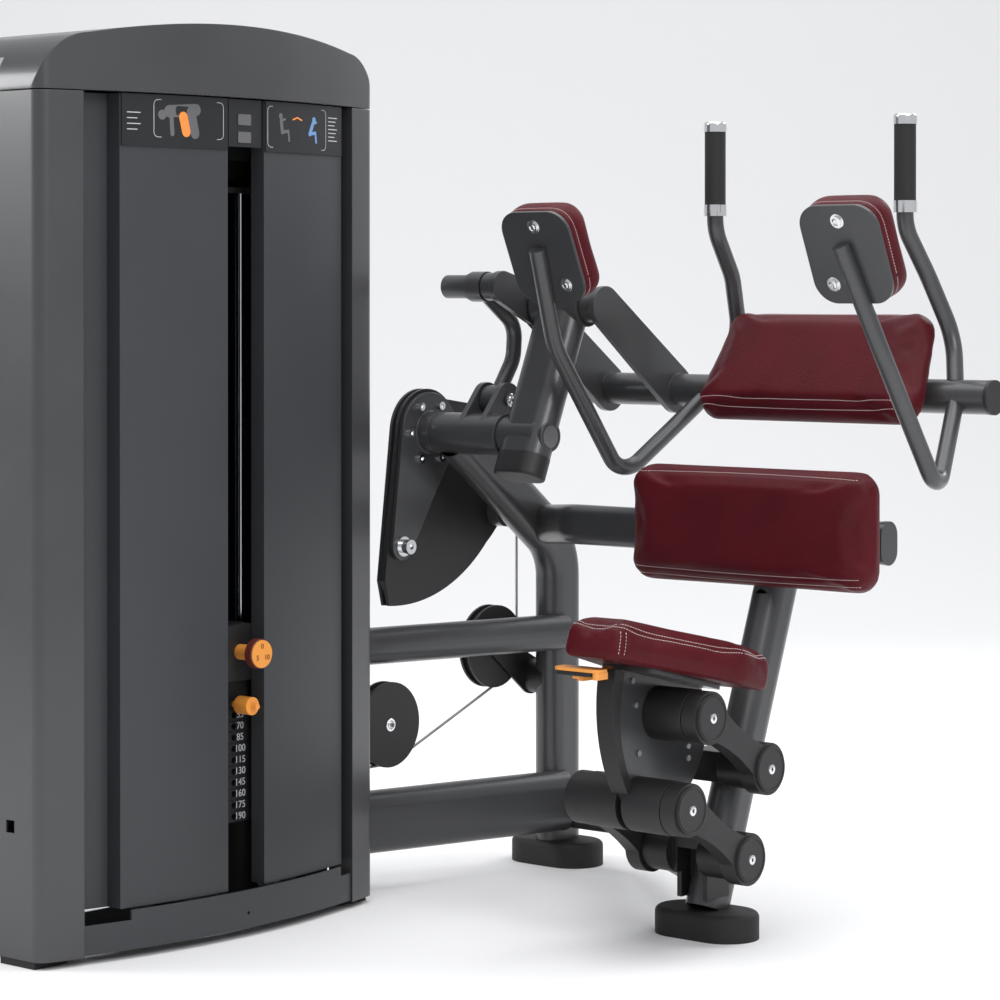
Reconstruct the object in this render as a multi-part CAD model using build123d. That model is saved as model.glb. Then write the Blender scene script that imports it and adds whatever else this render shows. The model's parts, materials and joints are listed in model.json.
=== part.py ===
from build123d import *
import os
from math import atan2, cos, degrees, hypot, radians, sin, sqrt, tan

os.makedirs("parts", exist_ok=True)

# Abdominal crunch machine. Millimetres, +Z up. The user sits facing -Y in the plane X = 0, the
# weight tower stands on the -X side, and the origin is under the seat post's foot, on the floor.

# ---- driving dimensions -------------------------------------------------------------------
TOWER_HEIGHT = 1500.0
CAP_SEAM_Z = 1382.0          # where the tower's cap meets its columns
TOWER_Y = -532.0             # middle of the tower's width
TOWER_HALF = 381.0           # half the tower's width
FRONT_R = 1240.0             # plan radius of the bulged tower front
FRONT_X = -555.0             # foremost point of the bulged front
COLUMN_WIDTH = 75.0
COLUMN_BACK_X = -715.0
REAR_X = -930.0
STACK_X = -684.0             # plane of the cam, the cable and every pulley
STACK_Y = -490.0             # middle of the weight stack
PLATE_PITCH = 18.8
PLATE_THICK = 18.3
FIRST_PLATE_Z = 378.0
RESTING_COUNT = 10
UPRIGHT_X = -621.0
UPRIGHT_Y = 358.0
PIVOT_A = (54.0, 811.0)      # (Y, Z) of the crunch axis, which runs along X
PIVOT_B = (149.0, 1038.0)    # upper frame's axis at the top of the main arm
PIVOT_C = (95.0, 871.0)      # link rod's lower pivot on the housing
PIVOT_D = (54.0, 1073.0)     # link rod's upper pivot on the upper frame's crank
CROSSBEAM = (355.0, 887.0)   # (Y, Z) of the upper frame's crossbeam
POST_FOOT = (0.0, 45.0)
POST_TOP = (223.0, 645.0)
SEAT_P1 = (21.0, 283.0)      # fixed pivots of the seat links
SEAT_P2 = (-33.0, 142.0)
SEAT_LINK = (-158.0, 99.0)   # from each fixed pivot to its pivot on the carriage
CABLE_R = 2.5
CAM_PITCH_R = 260.0
BIG_PULLEY_R = 72.0
WALL = 3.0

SEAT_Q1 = (SEAT_P1[0] + SEAT_LINK[0], SEAT_P1[1] + SEAT_LINK[1])
SEAT_Q2 = (SEAT_P2[0] + SEAT_LINK[0], SEAT_P2[1] + SEAT_LINK[1])
FRONT_CX = FRONT_X - FRONT_R


# ---- helpers -------------------------------------------------------------------------------
def rod(start, end, radius):
    """Round bar from one point to another."""
    axis = Vector(*end) - Vector(*start)
    return extrude(Plane(origin=start, z_dir=axis) * Circle(radius), axis.length)


def disc(centre, x0, x1, radius):
    """Round bar along X at (Y, Z) = centre."""
    return extrude(Plane.YZ.offset(x0) * Pos(*centre) * Circle(radius), x1 - x0)


def box(x, y, z):
    """Box from its three (low, high) pairs."""
    size = [high - low for low, high in (x, y, z)]
    middle = [(low + high) / 2 for low, high in (x, y, z)]
    return Pos(*middle) * Box(*size)


def hull_plate(x0, x1, *circles):
    """Plate across X whose outline wraps circles given as (y, z, radius)."""
    edges = ShapeList()
    for y, z, radius in circles:
        edges += (Pos(y, z) * Circle(radius)).edges()
    return extrude(Plane.YZ.offset(x0) * make_hull(edges), x1 - x0)


def oval_tube(points, bend, wide, deep, x_dir, wall=WALL):
    """Flat-oval tube along a bent path; wide is its size along x_dir."""
    path = FilletPolyline(*points, radius=bend) if len(points) > 2 else Line(*points)
    long, short = max(wide, deep), min(wide, deep)
    turn = 0 if wide >= deep else 90
    section = SlotOverall(long, short) - SlotOverall(long - 2 * wall, short - 2 * wall)
    start = Plane(origin=path @ 0, x_dir=x_dir, z_dir=path % 0)
    return sweep(start * Rot(0, 0, turn) * section, path=path)


def oval_bar(start, end, wide, deep, x_dir):
    """Solid flat-oval bar between two points."""
    axis = Vector(*end) - Vector(*start)
    long, short = max(wide, deep), min(wide, deep)
    turn = 0 if wide >= deep else 90
    plane = Plane(origin=start, x_dir=x_dir, z_dir=axis)
    return extrude(plane * Rot(0, 0, turn) * SlotOverall(long, short), axis.length)


def front_face(y_low, y_high, inset, depth):
    """Plan face that follows the tower's bulged front, inset behind it."""
    arc = Pos(FRONT_CX, TOWER_Y) * (Circle(FRONT_R - inset) - Circle(FRONT_R - inset - depth))
    middle = (y_low + y_high) / 2
    return arc & (Pos(-600, middle) * Rectangle(400, y_high - y_low))


def front_panel(y_low, y_high, inset, depth, z_low, z_high):
    return extrude(Plane.XY.offset(z_low) * front_face(y_low, y_high, inset, depth), z_high - z_low)


def pulley(centre, pitch_r, width, bore):
    """Grooved cable pulley in the stack plane."""
    half = width / 2
    flange = 5.0
    wheel = disc(centre, STACK_X - half, STACK_X + half, pitch_r - CABLE_R - 0.4)
    wheel += disc(centre, STACK_X - half, STACK_X - half + flange, pitch_r + 4)
    wheel += disc(centre, STACK_X + half - flange, STACK_X + half, pitch_r + 4)
    return wheel - disc(centre, STACK_X - half - 1, STACK_X + half + 1, bore)


def bolt_x(centre, x_face, radius, height):
    """Low bolt head standing on a face that looks along +X, with a hex socket."""
    head = disc(centre, x_face, x_face + height, radius)
    socket = Plane.YZ.offset(x_face + height * 0.4) * Pos(*centre) * RegularPolygon(radius * 0.45, 6)
    return head - extrude(socket, height)


def mirrored(shape):
    return shape + mirror(shape, about=Plane.YZ)


NODES = {}

# ---- cable route and pulleys ---------------------------------------------------------------
ARM_CABLE_Y = PIVOT_A[0] + CAM_PITCH_R
PULLEY_UPRIGHT = (ARM_CABLE_Y - BIG_PULLEY_R, 408.0)
PULLEY_TOWER = (-45.0, 292.0)
SMALL_PULLEY_R = 50.0
TOP_PULLEY_R = 45.0
RISER_Y = -290.0
LOW_RUN_Z = PULLEY_TOWER[1] - BIG_PULLEY_R
PULLEY_BASE = (RISER_Y + SMALL_PULLEY_R, LOW_RUN_Z + SMALL_PULLEY_R)
TOP_PULLEY_Z = 1300.0
PULLEY_TOP_REAR = (RISER_Y - TOP_PULLEY_R, TOP_PULLEY_Z)
PULLEY_TOP_STACK = (STACK_Y + TOP_PULLEY_R, TOP_PULLEY_Z)
AXLE_R = 6.0


def main_cable():
    """Steel cable from the cam to the top of the tower, on its real route."""
    run = Vector(PULLEY_TOWER[0] - PULLEY_UPRIGHT[0], PULLEY_TOWER[1] - PULLEY_UPRIGHT[1])
    slope = run.Y / run.X
    drop = BIG_PULLEY_R * sqrt(1 + slope * slope)
    line_z = PULLEY_UPRIGHT[1] - drop - slope * PULLEY_UPRIGHT[0]
    low_turn_y = (LOW_RUN_Z - line_z) / slope
    top_z = TOP_PULLEY_Z + TOP_PULLEY_R
    points = [
        (STACK_X, ARM_CABLE_Y, PIVOT_A[1] - 2),
        (STACK_X, ARM_CABLE_Y, line_z + slope * ARM_CABLE_Y),
        (STACK_X, low_turn_y, LOW_RUN_Z),
        (STACK_X, RISER_Y, LOW_RUN_Z),
        (STACK_X, RISER_Y, top_z),
        (STACK_X, STACK_Y, top_z),
        (STACK_X, STACK_Y, TOP_PULLEY_Z),
    ]
    radii = [BIG_PULLEY_R, BIG_PULLEY_R, SMALL_PULLEY_R, TOP_PULLEY_R, TOP_PULLEY_R - 0.01]
    path = FilletPolyline(*points, radius=radii)
    print("main cable length", round(path.length), "radii", radii)
    return sweep(Plane(origin=path @ 0, z_dir=path % 0) * Circle(CABLE_R), path=path)


NODES["main_cable"] = main_cable()
NODES["pulley_upright"] = pulley(PULLEY_UPRIGHT, BIG_PULLEY_R, 24, AXLE_R + 0.3)
NODES["pulley_tower"] = pulley(PULLEY_TOWER, BIG_PULLEY_R, 24, AXLE_R + 0.3)
NODES["pulley_base"] = pulley(PULLEY_BASE, SMALL_PULLEY_R, 20, AXLE_R + 0.3)
NODES["pulley_top_rear"] = pulley(PULLEY_TOP_REAR, TOP_PULLEY_R, 20, AXLE_R + 0.3)
NODES["pulley_top_stack"] = pulley(PULLEY_TOP_STACK, TOP_PULLEY_R, 20, AXLE_R + 0.3)

# ---- tower ---------------------------------------------------------------------------------
REAR_POST_X = -730.0
REAR_POST_Y = TOWER_Y + 324.0
POST_SIDE = 60.0
BEAM_END_Y = REAR_POST_Y + POST_SIDE / 2
BEAM_ANGLE = radians(14.0)
BEAM_START = (-592.0, 338.0)
HEAD_TOP_Z = 511.0
ROD_R = 9.5
ROD_TOP_Z = 1240.0
ROD_YS = (STACK_Y - 85.0, STACK_Y + 85.0)
COVER_SIDE = TOWER_HALF - 20.0


def beam_x(y):
    return BEAM_START[0] - (BEAM_START[1] - y) * tan(BEAM_ANGLE)


def beam(z, wide, tall, wall=WALL):
    start = (BEAM_START[0], BEAM_START[1], z)
    end = (beam_x(BEAM_END_Y - 30), BEAM_END_Y - 30, z)
    shape = oval_bar(start, end, tall, wide, (0, 0, 1))
    if wall:
        shape -= oval_bar(start, end, tall - 2 * wall, wide - 2 * wall, (0, 0, 1))
    return shape


UPPER_BEAM = (433.0, 58.0, 66.0)
LOWER_BEAM = (120.0, 58.0, 112.0)


def square_post(x, y, z_low, z_high, side=POST_SIDE):
    outer = box((x - side / 2, x + side / 2), (y - side / 2, y + side / 2), (z_low, z_high))
    inner = side / 2 - WALL
    return outer - box((x - inner, x + inner), (y - inner, y + inner), (z_low - 1, z_high + 1))


def tower_frame():
    """Inner steel frame: base plate, two rear posts, top plate and the pulley hangers."""
    y_low, y_high = TOWER_Y - 320, TOWER_Y + 354
    frame = box((-845, -656), (y_low, y_high), (14, 20))
    frame += box((-845, -656), (y_low, y_high), (1368, 1376))
    # crossbar that holds the guide rods' upper ends
    frame += box((-790, -664), (STACK_Y - 110, STACK_Y + 110), (ROD_TOP_Z - 10, ROD_TOP_Z))
    frame += box((-790, -740), (y_low + 30, y_high - 30), (ROD_TOP_Z - 10, ROD_TOP_Z))
    for y in (REAR_POST_Y, 2 * TOWER_Y - REAR_POST_Y + 60):
        frame += square_post(REAR_POST_X, y, 20, 1368)
    for side in (-1, 1):
        near = STACK_X + side * 12
        frame += box(sorted((near, near + side * 4)), (-455, -325), (1285, 1368))
        low_y = PULLEY_BASE[0]
        frame += box(sorted((near, near + side * 4)), (low_y - 20, low_y + 20), (20, PULLEY_BASE[1] + 15))
    for centre in (PULLEY_TOP_REAR, PULLEY_TOP_STACK, PULLEY_BASE):
        frame += disc(centre, STACK_X - 16, STACK_X + 16, AXLE_R)
    # arm that carries the pulley behind the tower
    reach = box((-752, STACK_X - 14), (PULLEY_TOWER[0] - 16, PULLEY_TOWER[0] + 16), (276, 308))
    reach += box((-752, -736), (BEAM_END_Y, PULLEY_TOWER[0] + 16), (276, 308))
    frame += reach + disc(PULLEY_TOWER, STACK_X - 15, STACK_X + 15, AXLE_R)
    for y in ROD_YS:
        frame -= Pos(STACK_X, y, 700) * Cylinder(ROD_R, 1400)
    frame -= box((STACK_X - 8, STACK_X + 8), (STACK_Y - 8, STACK_Y + 8), (1200, 1380))
    return frame


def column(outer_y, inner_y):
    """Bent cover over one end of the tower's front, open to the back and the inside."""
    low, high = sorted((outer_y, inner_y))
    plan = Pos(FRONT_CX, TOWER_Y) * Circle(FRONT_R)
    plan &= Pos((COLUMN_BACK_X - 500) / 2, (low + high) / 2) * Rectangle(-500 - COLUMN_BACK_X, high - low)
    corners = plan.vertices().sort_by(Axis.X)[-2:]
    outer = [corner for corner in corners if abs(corner.Y - outer_y) < 1]
    plan = fillet(outer, 24)
    inner = offset(plan, -4)
    inner += Pos(COLUMN_BACK_X + 5, (low + high) / 2) * Rectangle(60, high - low - 8)
    inner += Pos(-690, inner_y) * Rectangle(80, 20)
    z_low = 12.0
    cover = extrude(Plane.XY.offset(z_low) * (plan - inner), CAP_SEAM_Z - 2 - z_low)
    for z, wide, tall in (UPPER_BEAM, LOWER_BEAM):
        cover -= beam(z, wide + 6, tall + 6, wall=0)
    slot = box((STACK_X - 10, STACK_X + 10), (outer_y - 12, outer_y + 12), (LOW_RUN_Z - 10, LOW_RUN_Z + 10))
    return cover - slot


def cap_plan(grow):
    """Plan outline of the cap: the bulged front and the rounded rear."""
    width = 2 * TOWER_HALF + 2 * grow
    front = Pos(FRONT_CX, TOWER_Y) * Circle(FRONT_R + grow)
    front &= Pos((COLUMN_BACK_X - 500) / 2, TOWER_Y) * Rectangle(-500 - COLUMN_BACK_X + 2 * grow, width)
    corners = front.vertices().sort_by(Axis.X)[-2:]
    front = fillet(corners, 24)
    return front + cover_plan(grow + 4)


def cover_plan(grow):
    """Plan outline of the rear cover: straight sides and a bowed back."""
    half = COVER_SIDE + grow
    back = REAR_X - grow
    corner_x = -850.0
    outline = Polyline((-690, TOWER_Y - half), (corner_x, TOWER_Y - half))
    outline += ThreePointArc((corner_x, TOWER_Y - half), (back, TOWER_Y), (corner_x, TOWER_Y + half))
    outline += Polyline((corner_x, TOWER_Y + half), (-690, TOWER_Y + half), (-690, TOWER_Y - half))
    return make_face(outline.edges())


def tower_cap():
    """Domed cap with large end radii, hollow underneath."""
    end_z = TOWER_HEIGHT - 30
    corner = 84.0
    low, high = TOWER_Y - TOWER_HALF, TOWER_Y + TOWER_HALF
    s = corner * (1 - cos(radians(45)))
    side = Polyline((low, end_z - corner), (low, CAP_SEAM_Z), (high, CAP_SEAM_Z), (high, end_z - corner))
    side += ThreePointArc((high, end_z - corner), (high - s, end_z - s), (high - corner, end_z + 3))
    side += ThreePointArc((high - corner, end_z + 3), (TOWER_Y, TOWER_HEIGHT), (low + corner, end_z + 3))
    side += ThreePointArc((low + corner, end_z + 3), (low + s, end_z - s), (low, end_z - corner))
    block = extrude(Plane.YZ.offset(-960) * make_face(side.edges()), 500)
    cap = block & extrude(Plane.XY.offset(CAP_SEAM_Z - 1) * cap_plan(0), 200)
    hollow = extrude(Plane.XY.offset(CAP_SEAM_Z - 1) * cap_plan(-12), 25)
    return cap - hollow


def rear_cover():
    """Sheet cover round the tower's hidden back, with openings for the beams and the cable."""
    shell = cover_plan(0) - cover_plan(-WALL)
    shell -= Pos(-690, TOWER_Y) * Rectangle(50, 800)
    cover = extrude(Plane.XY.offset(24) * shell, CAP_SEAM_Z - 26)
    for z, wide, tall in (UPPER_BEAM, LOWER_BEAM):
        cover -= beam(z, wide + 6, tall + 6, wall=0)
    side = TOWER_Y + COVER_SIDE
    return cover - box((-758, -730), (side - 8, side + 8), (270, 314))


def shroud(slot_y, outer_y, strip_y):
    """Bowed shroud panel with a flange into the slot and a recessed strip next to the column."""
    z_low, z_high = 80.0, 1380.0
    low, high = sorted((slot_y, outer_y))
    panel = front_panel(low, high, 12, 4, z_low, z_high)
    inward = 1 if slot_y > outer_y else -1
    flange = sorted((slot_y, slot_y - inward * 4))
    panel += front_panel(flange[0], flange[1], 12, 30, z_low, z_high)
    edge = sorted((outer_y, outer_y + inward * 4))
    panel += front_panel(edge[0], edge[1], 12, 34, z_low, z_high)
    strip = sorted((outer_y + inward * 4, strip_y))
    return panel + front_panel(strip[0], strip[1], 42, 4, z_low, z_high)


SLOT_Y = (-549.0, -464.0)
NEAR_PANEL_Y = -766.0
FAR_PANEL_Y = -246.0
NEAR_COLUMN_IN = TOWER_Y - TOWER_HALF + COLUMN_WIDTH
FAR_COLUMN_IN = TOWER_Y + TOWER_HALF - COLUMN_WIDTH


def kick_panel():
    """Bowed panel across the foot of the tower, with a screw hole in the middle."""
    panel = front_panel(NEAR_COLUMN_IN + 1, FAR_COLUMN_IN - 1, 3, 4, 15, 62)
    panel += front_panel(NEAR_PANEL_Y + 14, FAR_PANEL_Y - 14, 3, 4, 62, 78)
    panel += front_panel(NEAR_COLUMN_IN + 1, FAR_COLUMN_IN - 1, 7, 40, 15, 19)
    return panel - rod((-600, -511, 40), (-500, -511, 40), 3)


def label_plates():
    """Two thin label plates and the strip with two windows between them."""
    z_low, z_high = 1296.0, 1380.0
    plates = [
        front_panel(NEAR_PANEL_Y + 2, SLOT_Y[0] - 2, 9.5, 2, z_low, z_high),
        front_panel(SLOT_Y[1] + 2, FAR_PANEL_Y - 2, 9.5, 2, z_low, z_high),
    ]
    strip = front_panel(SLOT_Y[0] + 4, SLOT_Y[1] - 4, 14, 4, z_low + 6, z_high)
    return Compound(children=[plates[0].solid(), plates[1].solid(), strip.solid()])


def tower_feet():
    """Rubber pads under the columns and the base plate."""
    pads = []
    for outer_y, inner_y in ((TOWER_Y - TOWER_HALF, NEAR_COLUMN_IN), (TOWER_Y + TOWER_HALF, FAR_COLUMN_IN)):
        low, high = sorted((outer_y, inner_y))
        pads.append(box((COLUMN_BACK_X + 4, -630), (low + 3, high - 3), (0, 12)))
    for y in (TOWER_Y - 250, TOWER_Y + 250):
        pads.append(Pos(-820, y, 7) * Cylinder(30, 14))
    return Compound(children=[pad.solid() for pad in pads])


def guide_rods():
    middle = (20 + ROD_TOP_Z) / 2
    rods = [Pos(STACK_X, y, middle) * Cylinder(ROD_R, ROD_TOP_Z - 20) for y in ROD_YS]
    return Compound(children=[bar.solid() for bar in rods])


NODES["tower_frame"] = tower_frame()
NODES["tower_column_near"] = column(TOWER_Y - TOWER_HALF, NEAR_COLUMN_IN)
NODES["tower_column_far"] = column(TOWER_Y + TOWER_HALF, FAR_COLUMN_IN)
NODES["tower_cap"] = tower_cap()
NODES["rear_cover"] = rear_cover()
NODES["shroud_near"] = shroud(SLOT_Y[0], NEAR_PANEL_Y, NEAR_COLUMN_IN + 2)
NODES["shroud_far"] = shroud(SLOT_Y[1], FAR_PANEL_Y, FAR_COLUMN_IN - 2)
NODES["kick_panel"] = kick_panel()
NODES["label_plates"] = label_plates()
NODES["tower_feet"] = tower_feet()
NODES["guide_rods"] = guide_rods()

# ---- weight stack --------------------------------------------------------------------------
PLATE_X = (STACK_X - 70.0, STACK_X + 70.0)
PLATE_Y = (STACK_Y - 165.0, STACK_Y + 165.0)
STEM_R = 11.0
PIN_HOLE_R = 5.5
HEAD_PLATE_Z = FIRST_PLATE_Z + PLATE_PITCH / 2 + 0.3


def plate(z):
    """One weight plate, bored for the guide rods, the selector stem and the pin."""
    block = box(PLATE_X, PLATE_Y, (z - PLATE_THICK / 2, z + PLATE_THICK / 2))
    for y in ROD_YS:
        block -= Pos(STACK_X, y, z) * Cylinder(ROD_R + 1.5, 40)
    block -= Pos(STACK_X, STACK_Y, z) * Cylinder(STEM_R + 2, 40)
    return block - rod((STACK_X, STACK_Y, z), (-600, STACK_Y, z), PIN_HOLE_R)


def resting_plates():
    first = plate(FIRST_PLATE_Z - PLATE_PITCH).solid()
    return Compound(children=[Pos(0, 0, -i * PLATE_PITCH) * first for i in range(RESTING_COUNT)])


def stack_bumpers():
    top = FIRST_PLATE_Z - RESTING_COUNT * PLATE_PITCH - PLATE_THICK / 2
    middle = (20 + top) / 2
    pads = []
    for y in ROD_YS:
        pad = Pos(STACK_X, y, middle) * (Cylinder(28, top - 20) - Cylinder(ROD_R, top))
        pads.append(pad.solid())
    return Compound(children=pads)


def lifted_stack():
    """Top plate with its dial housing and selector stem, and the plate that the pin picks."""
    head = box(PLATE_X, PLATE_Y, (HEAD_PLATE_Z, HEAD_PLATE_Z + 30))
    head += box((-704, -600), (STACK_Y - 34, STACK_Y + 34), (HEAD_PLATE_Z + 30, HEAD_TOP_Z))
    for y in ROD_YS:
        head -= Pos(STACK_X, y, HEAD_PLATE_Z) * Cylinder(ROD_R + 1.5, 90)
    stem_low = FIRST_PLATE_Z - RESTING_COUNT * PLATE_PITCH - 4
    stem = Pos(STACK_X, STACK_Y, (stem_low + HEAD_PLATE_Z) / 2) * Cylinder(STEM_R, HEAD_PLATE_Z - stem_low)
    for i in range(RESTING_COUNT + 1):
        z = FIRST_PLATE_Z - i * PLATE_PITCH
        stem -= rod((STACK_X - 20, STACK_Y, z), (STACK_X + 20, STACK_Y, z), PIN_HOLE_R)
    return Compound(children=[(head + stem).solid(), plate(FIRST_PLATE_Z).solid()])


DIAL_Z = 466.0
DIAL_R = 23.0


def weight_dial():
    """Round dial that adds a small weight, on a short spindle."""
    dial = disc((STACK_Y, DIAL_Z), -599.5, -563, 13)
    return dial + disc((STACK_Y, DIAL_Z), -563, -547, DIAL_R)


def selector_pin():
    pin = disc((STACK_Y, FIRST_PLATE_Z), -694, -600, PIN_HOLE_R - 0.7)
    pin += disc((STACK_Y, FIRST_PLATE_Z), -600, -570, 15)
    return pin + disc((STACK_Y, FIRST_PLATE_Z), -570, -558, 5)


NODES["resting_plates"] = resting_plates()
NODES["stack_bumpers"] = stack_bumpers()
NODES["lifted_stack"] = lifted_stack()
NODES["weight_dial"] = weight_dial()
NODES["selector_pin"] = selector_pin()
NODES["stack_cable"] = Pos(STACK_X, STACK_Y, (HEAD_TOP_Z + TOP_PULLEY_Z) / 2) * Cylinder(
    CABLE_R, TOP_PULLEY_Z - HEAD_TOP_Z)

# ---- standing frame ------------------------------------------------------------------------
HOUSING_X = (-638.0, -484.0)
HOUSING_R = 37.0
SHAFT_R = 20.0
UPRIGHT_SECTION = (60.0, 92.0)
LUMBAR_TUBE = (224.0, 645.0)
LUMBAR_END_X = 200.0
LUMBAR_FRONT_Y = 95.0
LUMBAR_PAD_THICK = 50.0
LUMBAR_BACK_Y = LUMBAR_FRONT_Y + LUMBAR_PAD_THICK + 6
CROSS_Z = 105.0
POST_ANGLE = atan2(POST_TOP[0] - POST_FOOT[0], POST_TOP[1] - POST_FOOT[1])


def housing_block():
    """Outer volume of the pivot housing and its link lugs."""
    shape = disc(PIVOT_A, HOUSING_X[0], HOUSING_X[1], HOUSING_R)
    for x0, x1 in ((-574, -563), (-525, -514)):
        shape += hull_plate(x0, x1, (PIVOT_C[0], PIVOT_C[1], 31), (PIVOT_A[0], PIVOT_A[1], HOUSING_R))
    return shape


def pivot_housing():
    """Bearing housing of the crunch axis, with two lugs and the pin of the link rod."""
    shape = housing_block() - disc(PIVOT_A, -700, -400, SHAFT_R)
    return shape + disc(PIVOT_C, -578, -510, 10)


def upright_path():
    return [
        (UPRIGHT_X, UPRIGHT_Y, 45),
        (UPRIGHT_X, UPRIGHT_Y, 590),
        (UPRIGHT_X + 12, PIVOT_A[0] + 10, PIVOT_A[1] - 6),
    ]


def main_upright():
    """Flat-oval upright that bends forward to the pivot housing, with a stop boss."""
    tube = oval_tube(upright_path(), 110, UPRIGHT_SECTION[0], UPRIGHT_SECTION[1], (1, 0, 0))
    tube += disc((235, 660), -664, -640, 28)
    return tube - disc(PIVOT_A, -700, -400, HOUSING_R + 0.05)


def upright_solid():
    """Filled outline of the upright's straight stretch, used to trim what meets it."""
    return oval_bar((UPRIGHT_X, UPRIGHT_Y, 30), (UPRIGHT_X, UPRIGHT_Y, 600), *UPRIGHT_SECTION, (1, 0, 0))


def seat_post_solid(grow=0.0):
    start = (0, POST_FOOT[0], POST_FOOT[1] - 2)
    return oval_bar(start, (0, POST_TOP[0], POST_TOP[1]), 60 + grow, 82 + grow, (1, 0, 0))


def lumbar_solid(grow=0.0):
    return oval_bar((-430, *LUMBAR_TUBE), (LUMBAR_END_X, *LUMBAR_TUBE), 72 + grow, 46 + grow, (0, 0, 1))


def lumbar_arm():
    """Bent cross tube that carries the lumbar pad, from the upright to a capped free end."""
    points = [(-612, 300, 634), (-470, *LUMBAR_TUBE), (LUMBAR_END_X, *LUMBAR_TUBE)]
    tube = oval_tube(points, 70, 72, 46, (0, 0, 1))
    cap = oval_bar((LUMBAR_END_X, *LUMBAR_TUBE), (LUMBAR_END_X + 10, *LUMBAR_TUBE), 74, 48, (0, 0, 1))
    return tube + cap


def seat_post():
    """Leaning flat-oval post that carries the seat links and meets the lumbar tube."""
    hollow = oval_bar((0, POST_FOOT[0], POST_FOOT[1] - 4), (0, POST_TOP[0], POST_TOP[1]), 54, 76, (1, 0, 0))
    post = seat_post_solid() - hollow - lumbar_solid(1.2) - box((-60, 60), (-90, 90), (0, POST_FOOT[1]))
    return (post - box((-60, 60), (0, LUMBAR_BACK_Y + 0.2), (555, 800))).solids().sort_by(SortBy.VOLUME)[-1]


def cross_beam():
    """Base tube from the upright round to the seat post."""
    points = [(UPRIGHT_X, 362, CROSS_Z), (-430, 362, CROSS_Z), (-215, 160, CROSS_Z), (0, 14, CROSS_Z)]
    tube = oval_tube(points, [90, 160], 78, 50, (0, 0, 1))
    return tube - upright_solid() - seat_post_solid()


def oval_foot(x, y, angle):
    """Moulded rubber foot under a post."""
    plane = Plane(origin=(x, y, 0)) * Rot(0, 0, angle)
    foot = extrude(plane * SlotOverall(188, 112), 45)
    return fillet(foot.edges().group_by(Axis.Z)[-1], 10).solid()


def floor_feet():
    return Compound(children=[oval_foot(UPRIGHT_X, UPRIGHT_Y, 0), oval_foot(0, 0, 0)])


def tower_beams():
    """Two flat-oval beams that join the tower to the upright."""
    beams = []
    blocker = upright_solid()
    posts = box((REAR_POST_X - 40, REAR_POST_X + 60), (BEAM_END_Y - 60, BEAM_END_Y), (0, 1400))
    corner = oval_bar((UPRIGHT_X, 362, CROSS_Z), (-430, 362, CROSS_Z), 78, 50, (0, 0, 1))
    for z, wide, tall in (UPPER_BEAM, LOWER_BEAM):
        tube = beam(z, wide, tall)
        end = (BEAM_START[0], BEAM_START[1], z)
        direction = (sin(BEAM_ANGLE), cos(BEAM_ANGLE), 0)
        tip = tuple(end[i] + 4 * direction[i] for i in range(3))
        tube += oval_bar(end, tip, tall, wide, (0, 0, 1))
        beams.append((tube - blocker - posts - corner).solids().sort_by(SortBy.VOLUME)[-1])
    return Compound(children=beams)


def pulley_bracket():
    """Stub tube and cheek plate that carry the pulley next to the upright."""
    y, z = PULLEY_UPRIGHT
    start = (STACK_X + 13, UPRIGHT_Y - 20, z - 62)
    stub = oval_bar(start, (UPRIGHT_X, UPRIGHT_Y - 20, z - 62), 62, 54, (0, 0, 1))
    stub -= upright_solid()
    cheek = hull_plate(STACK_X + 13, STACK_X + 18, (y, z, 22), (UPRIGHT_Y - 20, z - 62, 34))
    return cheek + stub.solids().sort_by(Axis.X)[0] + disc((y, z), STACK_X - 18, STACK_X + 13, AXLE_R)


def lumbar_plate():
    """Backing plate of the lumbar pad and its two spacers."""
    outline = RectangleRounded(480, 190, 34)
    back = Plane(origin=(0, LUMBAR_BACK_Y, 668), x_dir=(1, 0, 0), z_dir=(0, -1, 0))
    sheet = extrude(back * outline, 6)
    for x in (-150, 120):
        sheet += box((x - 30, x + 30), (LUMBAR_BACK_Y, LUMBAR_TUBE[0] - 10), (628, 662))
    return sheet - lumbar_arm() - lumbar_solid()


def cushion(plane, width_low, width_high, height, depth, corner, edge):
    """Plain closed cushion: a tapered rounded outline with softened front edges."""
    outline = make_face(Polyline(
        (-width_low / 2, 0), (width_low / 2, 0), (width_high / 2, height), (-width_high / 2, height),
        (-width_low / 2, 0)).edges())
    outline = fillet(outline.vertices(), corner)
    pad = extrude(plane * outline, depth)
    local_top = (plane.origin + plane.z_dir * depth)
    front = [e for e in pad.edges() if abs((e.center() - local_top).dot(plane.z_dir)) < 0.5]
    return fillet(front, edge)


def lumbar_pad():
    plane = Plane(origin=(0, LUMBAR_BACK_Y - 6, 565), x_dir=(1, 0, 0), z_dir=(0, -1, 0))
    return cushion(plane, 504, 504, 206, LUMBAR_PAD_THICK, 40, 20)


NODES["pivot_housing"] = pivot_housing()
NODES["main_upright"] = main_upright()
cut_arm = lumbar_arm() - oval_tube(upright_path(), 110, *UPRIGHT_SECTION, (1, 0, 0), wall=29)
NODES["lumbar_arm"] = cut_arm.solids().sort_by(SortBy.VOLUME)[-1]
NODES["seat_post"] = seat_post()
NODES["cross_beam"] = cross_beam()
NODES["floor_feet"] = floor_feet()
NODES["tower_beams"] = tower_beams()
NODES["pulley_bracket"] = pulley_bracket()
NODES["lumbar_plate"] = lumbar_plate()
NODES["lumbar_pad"] = lumbar_pad()

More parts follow.
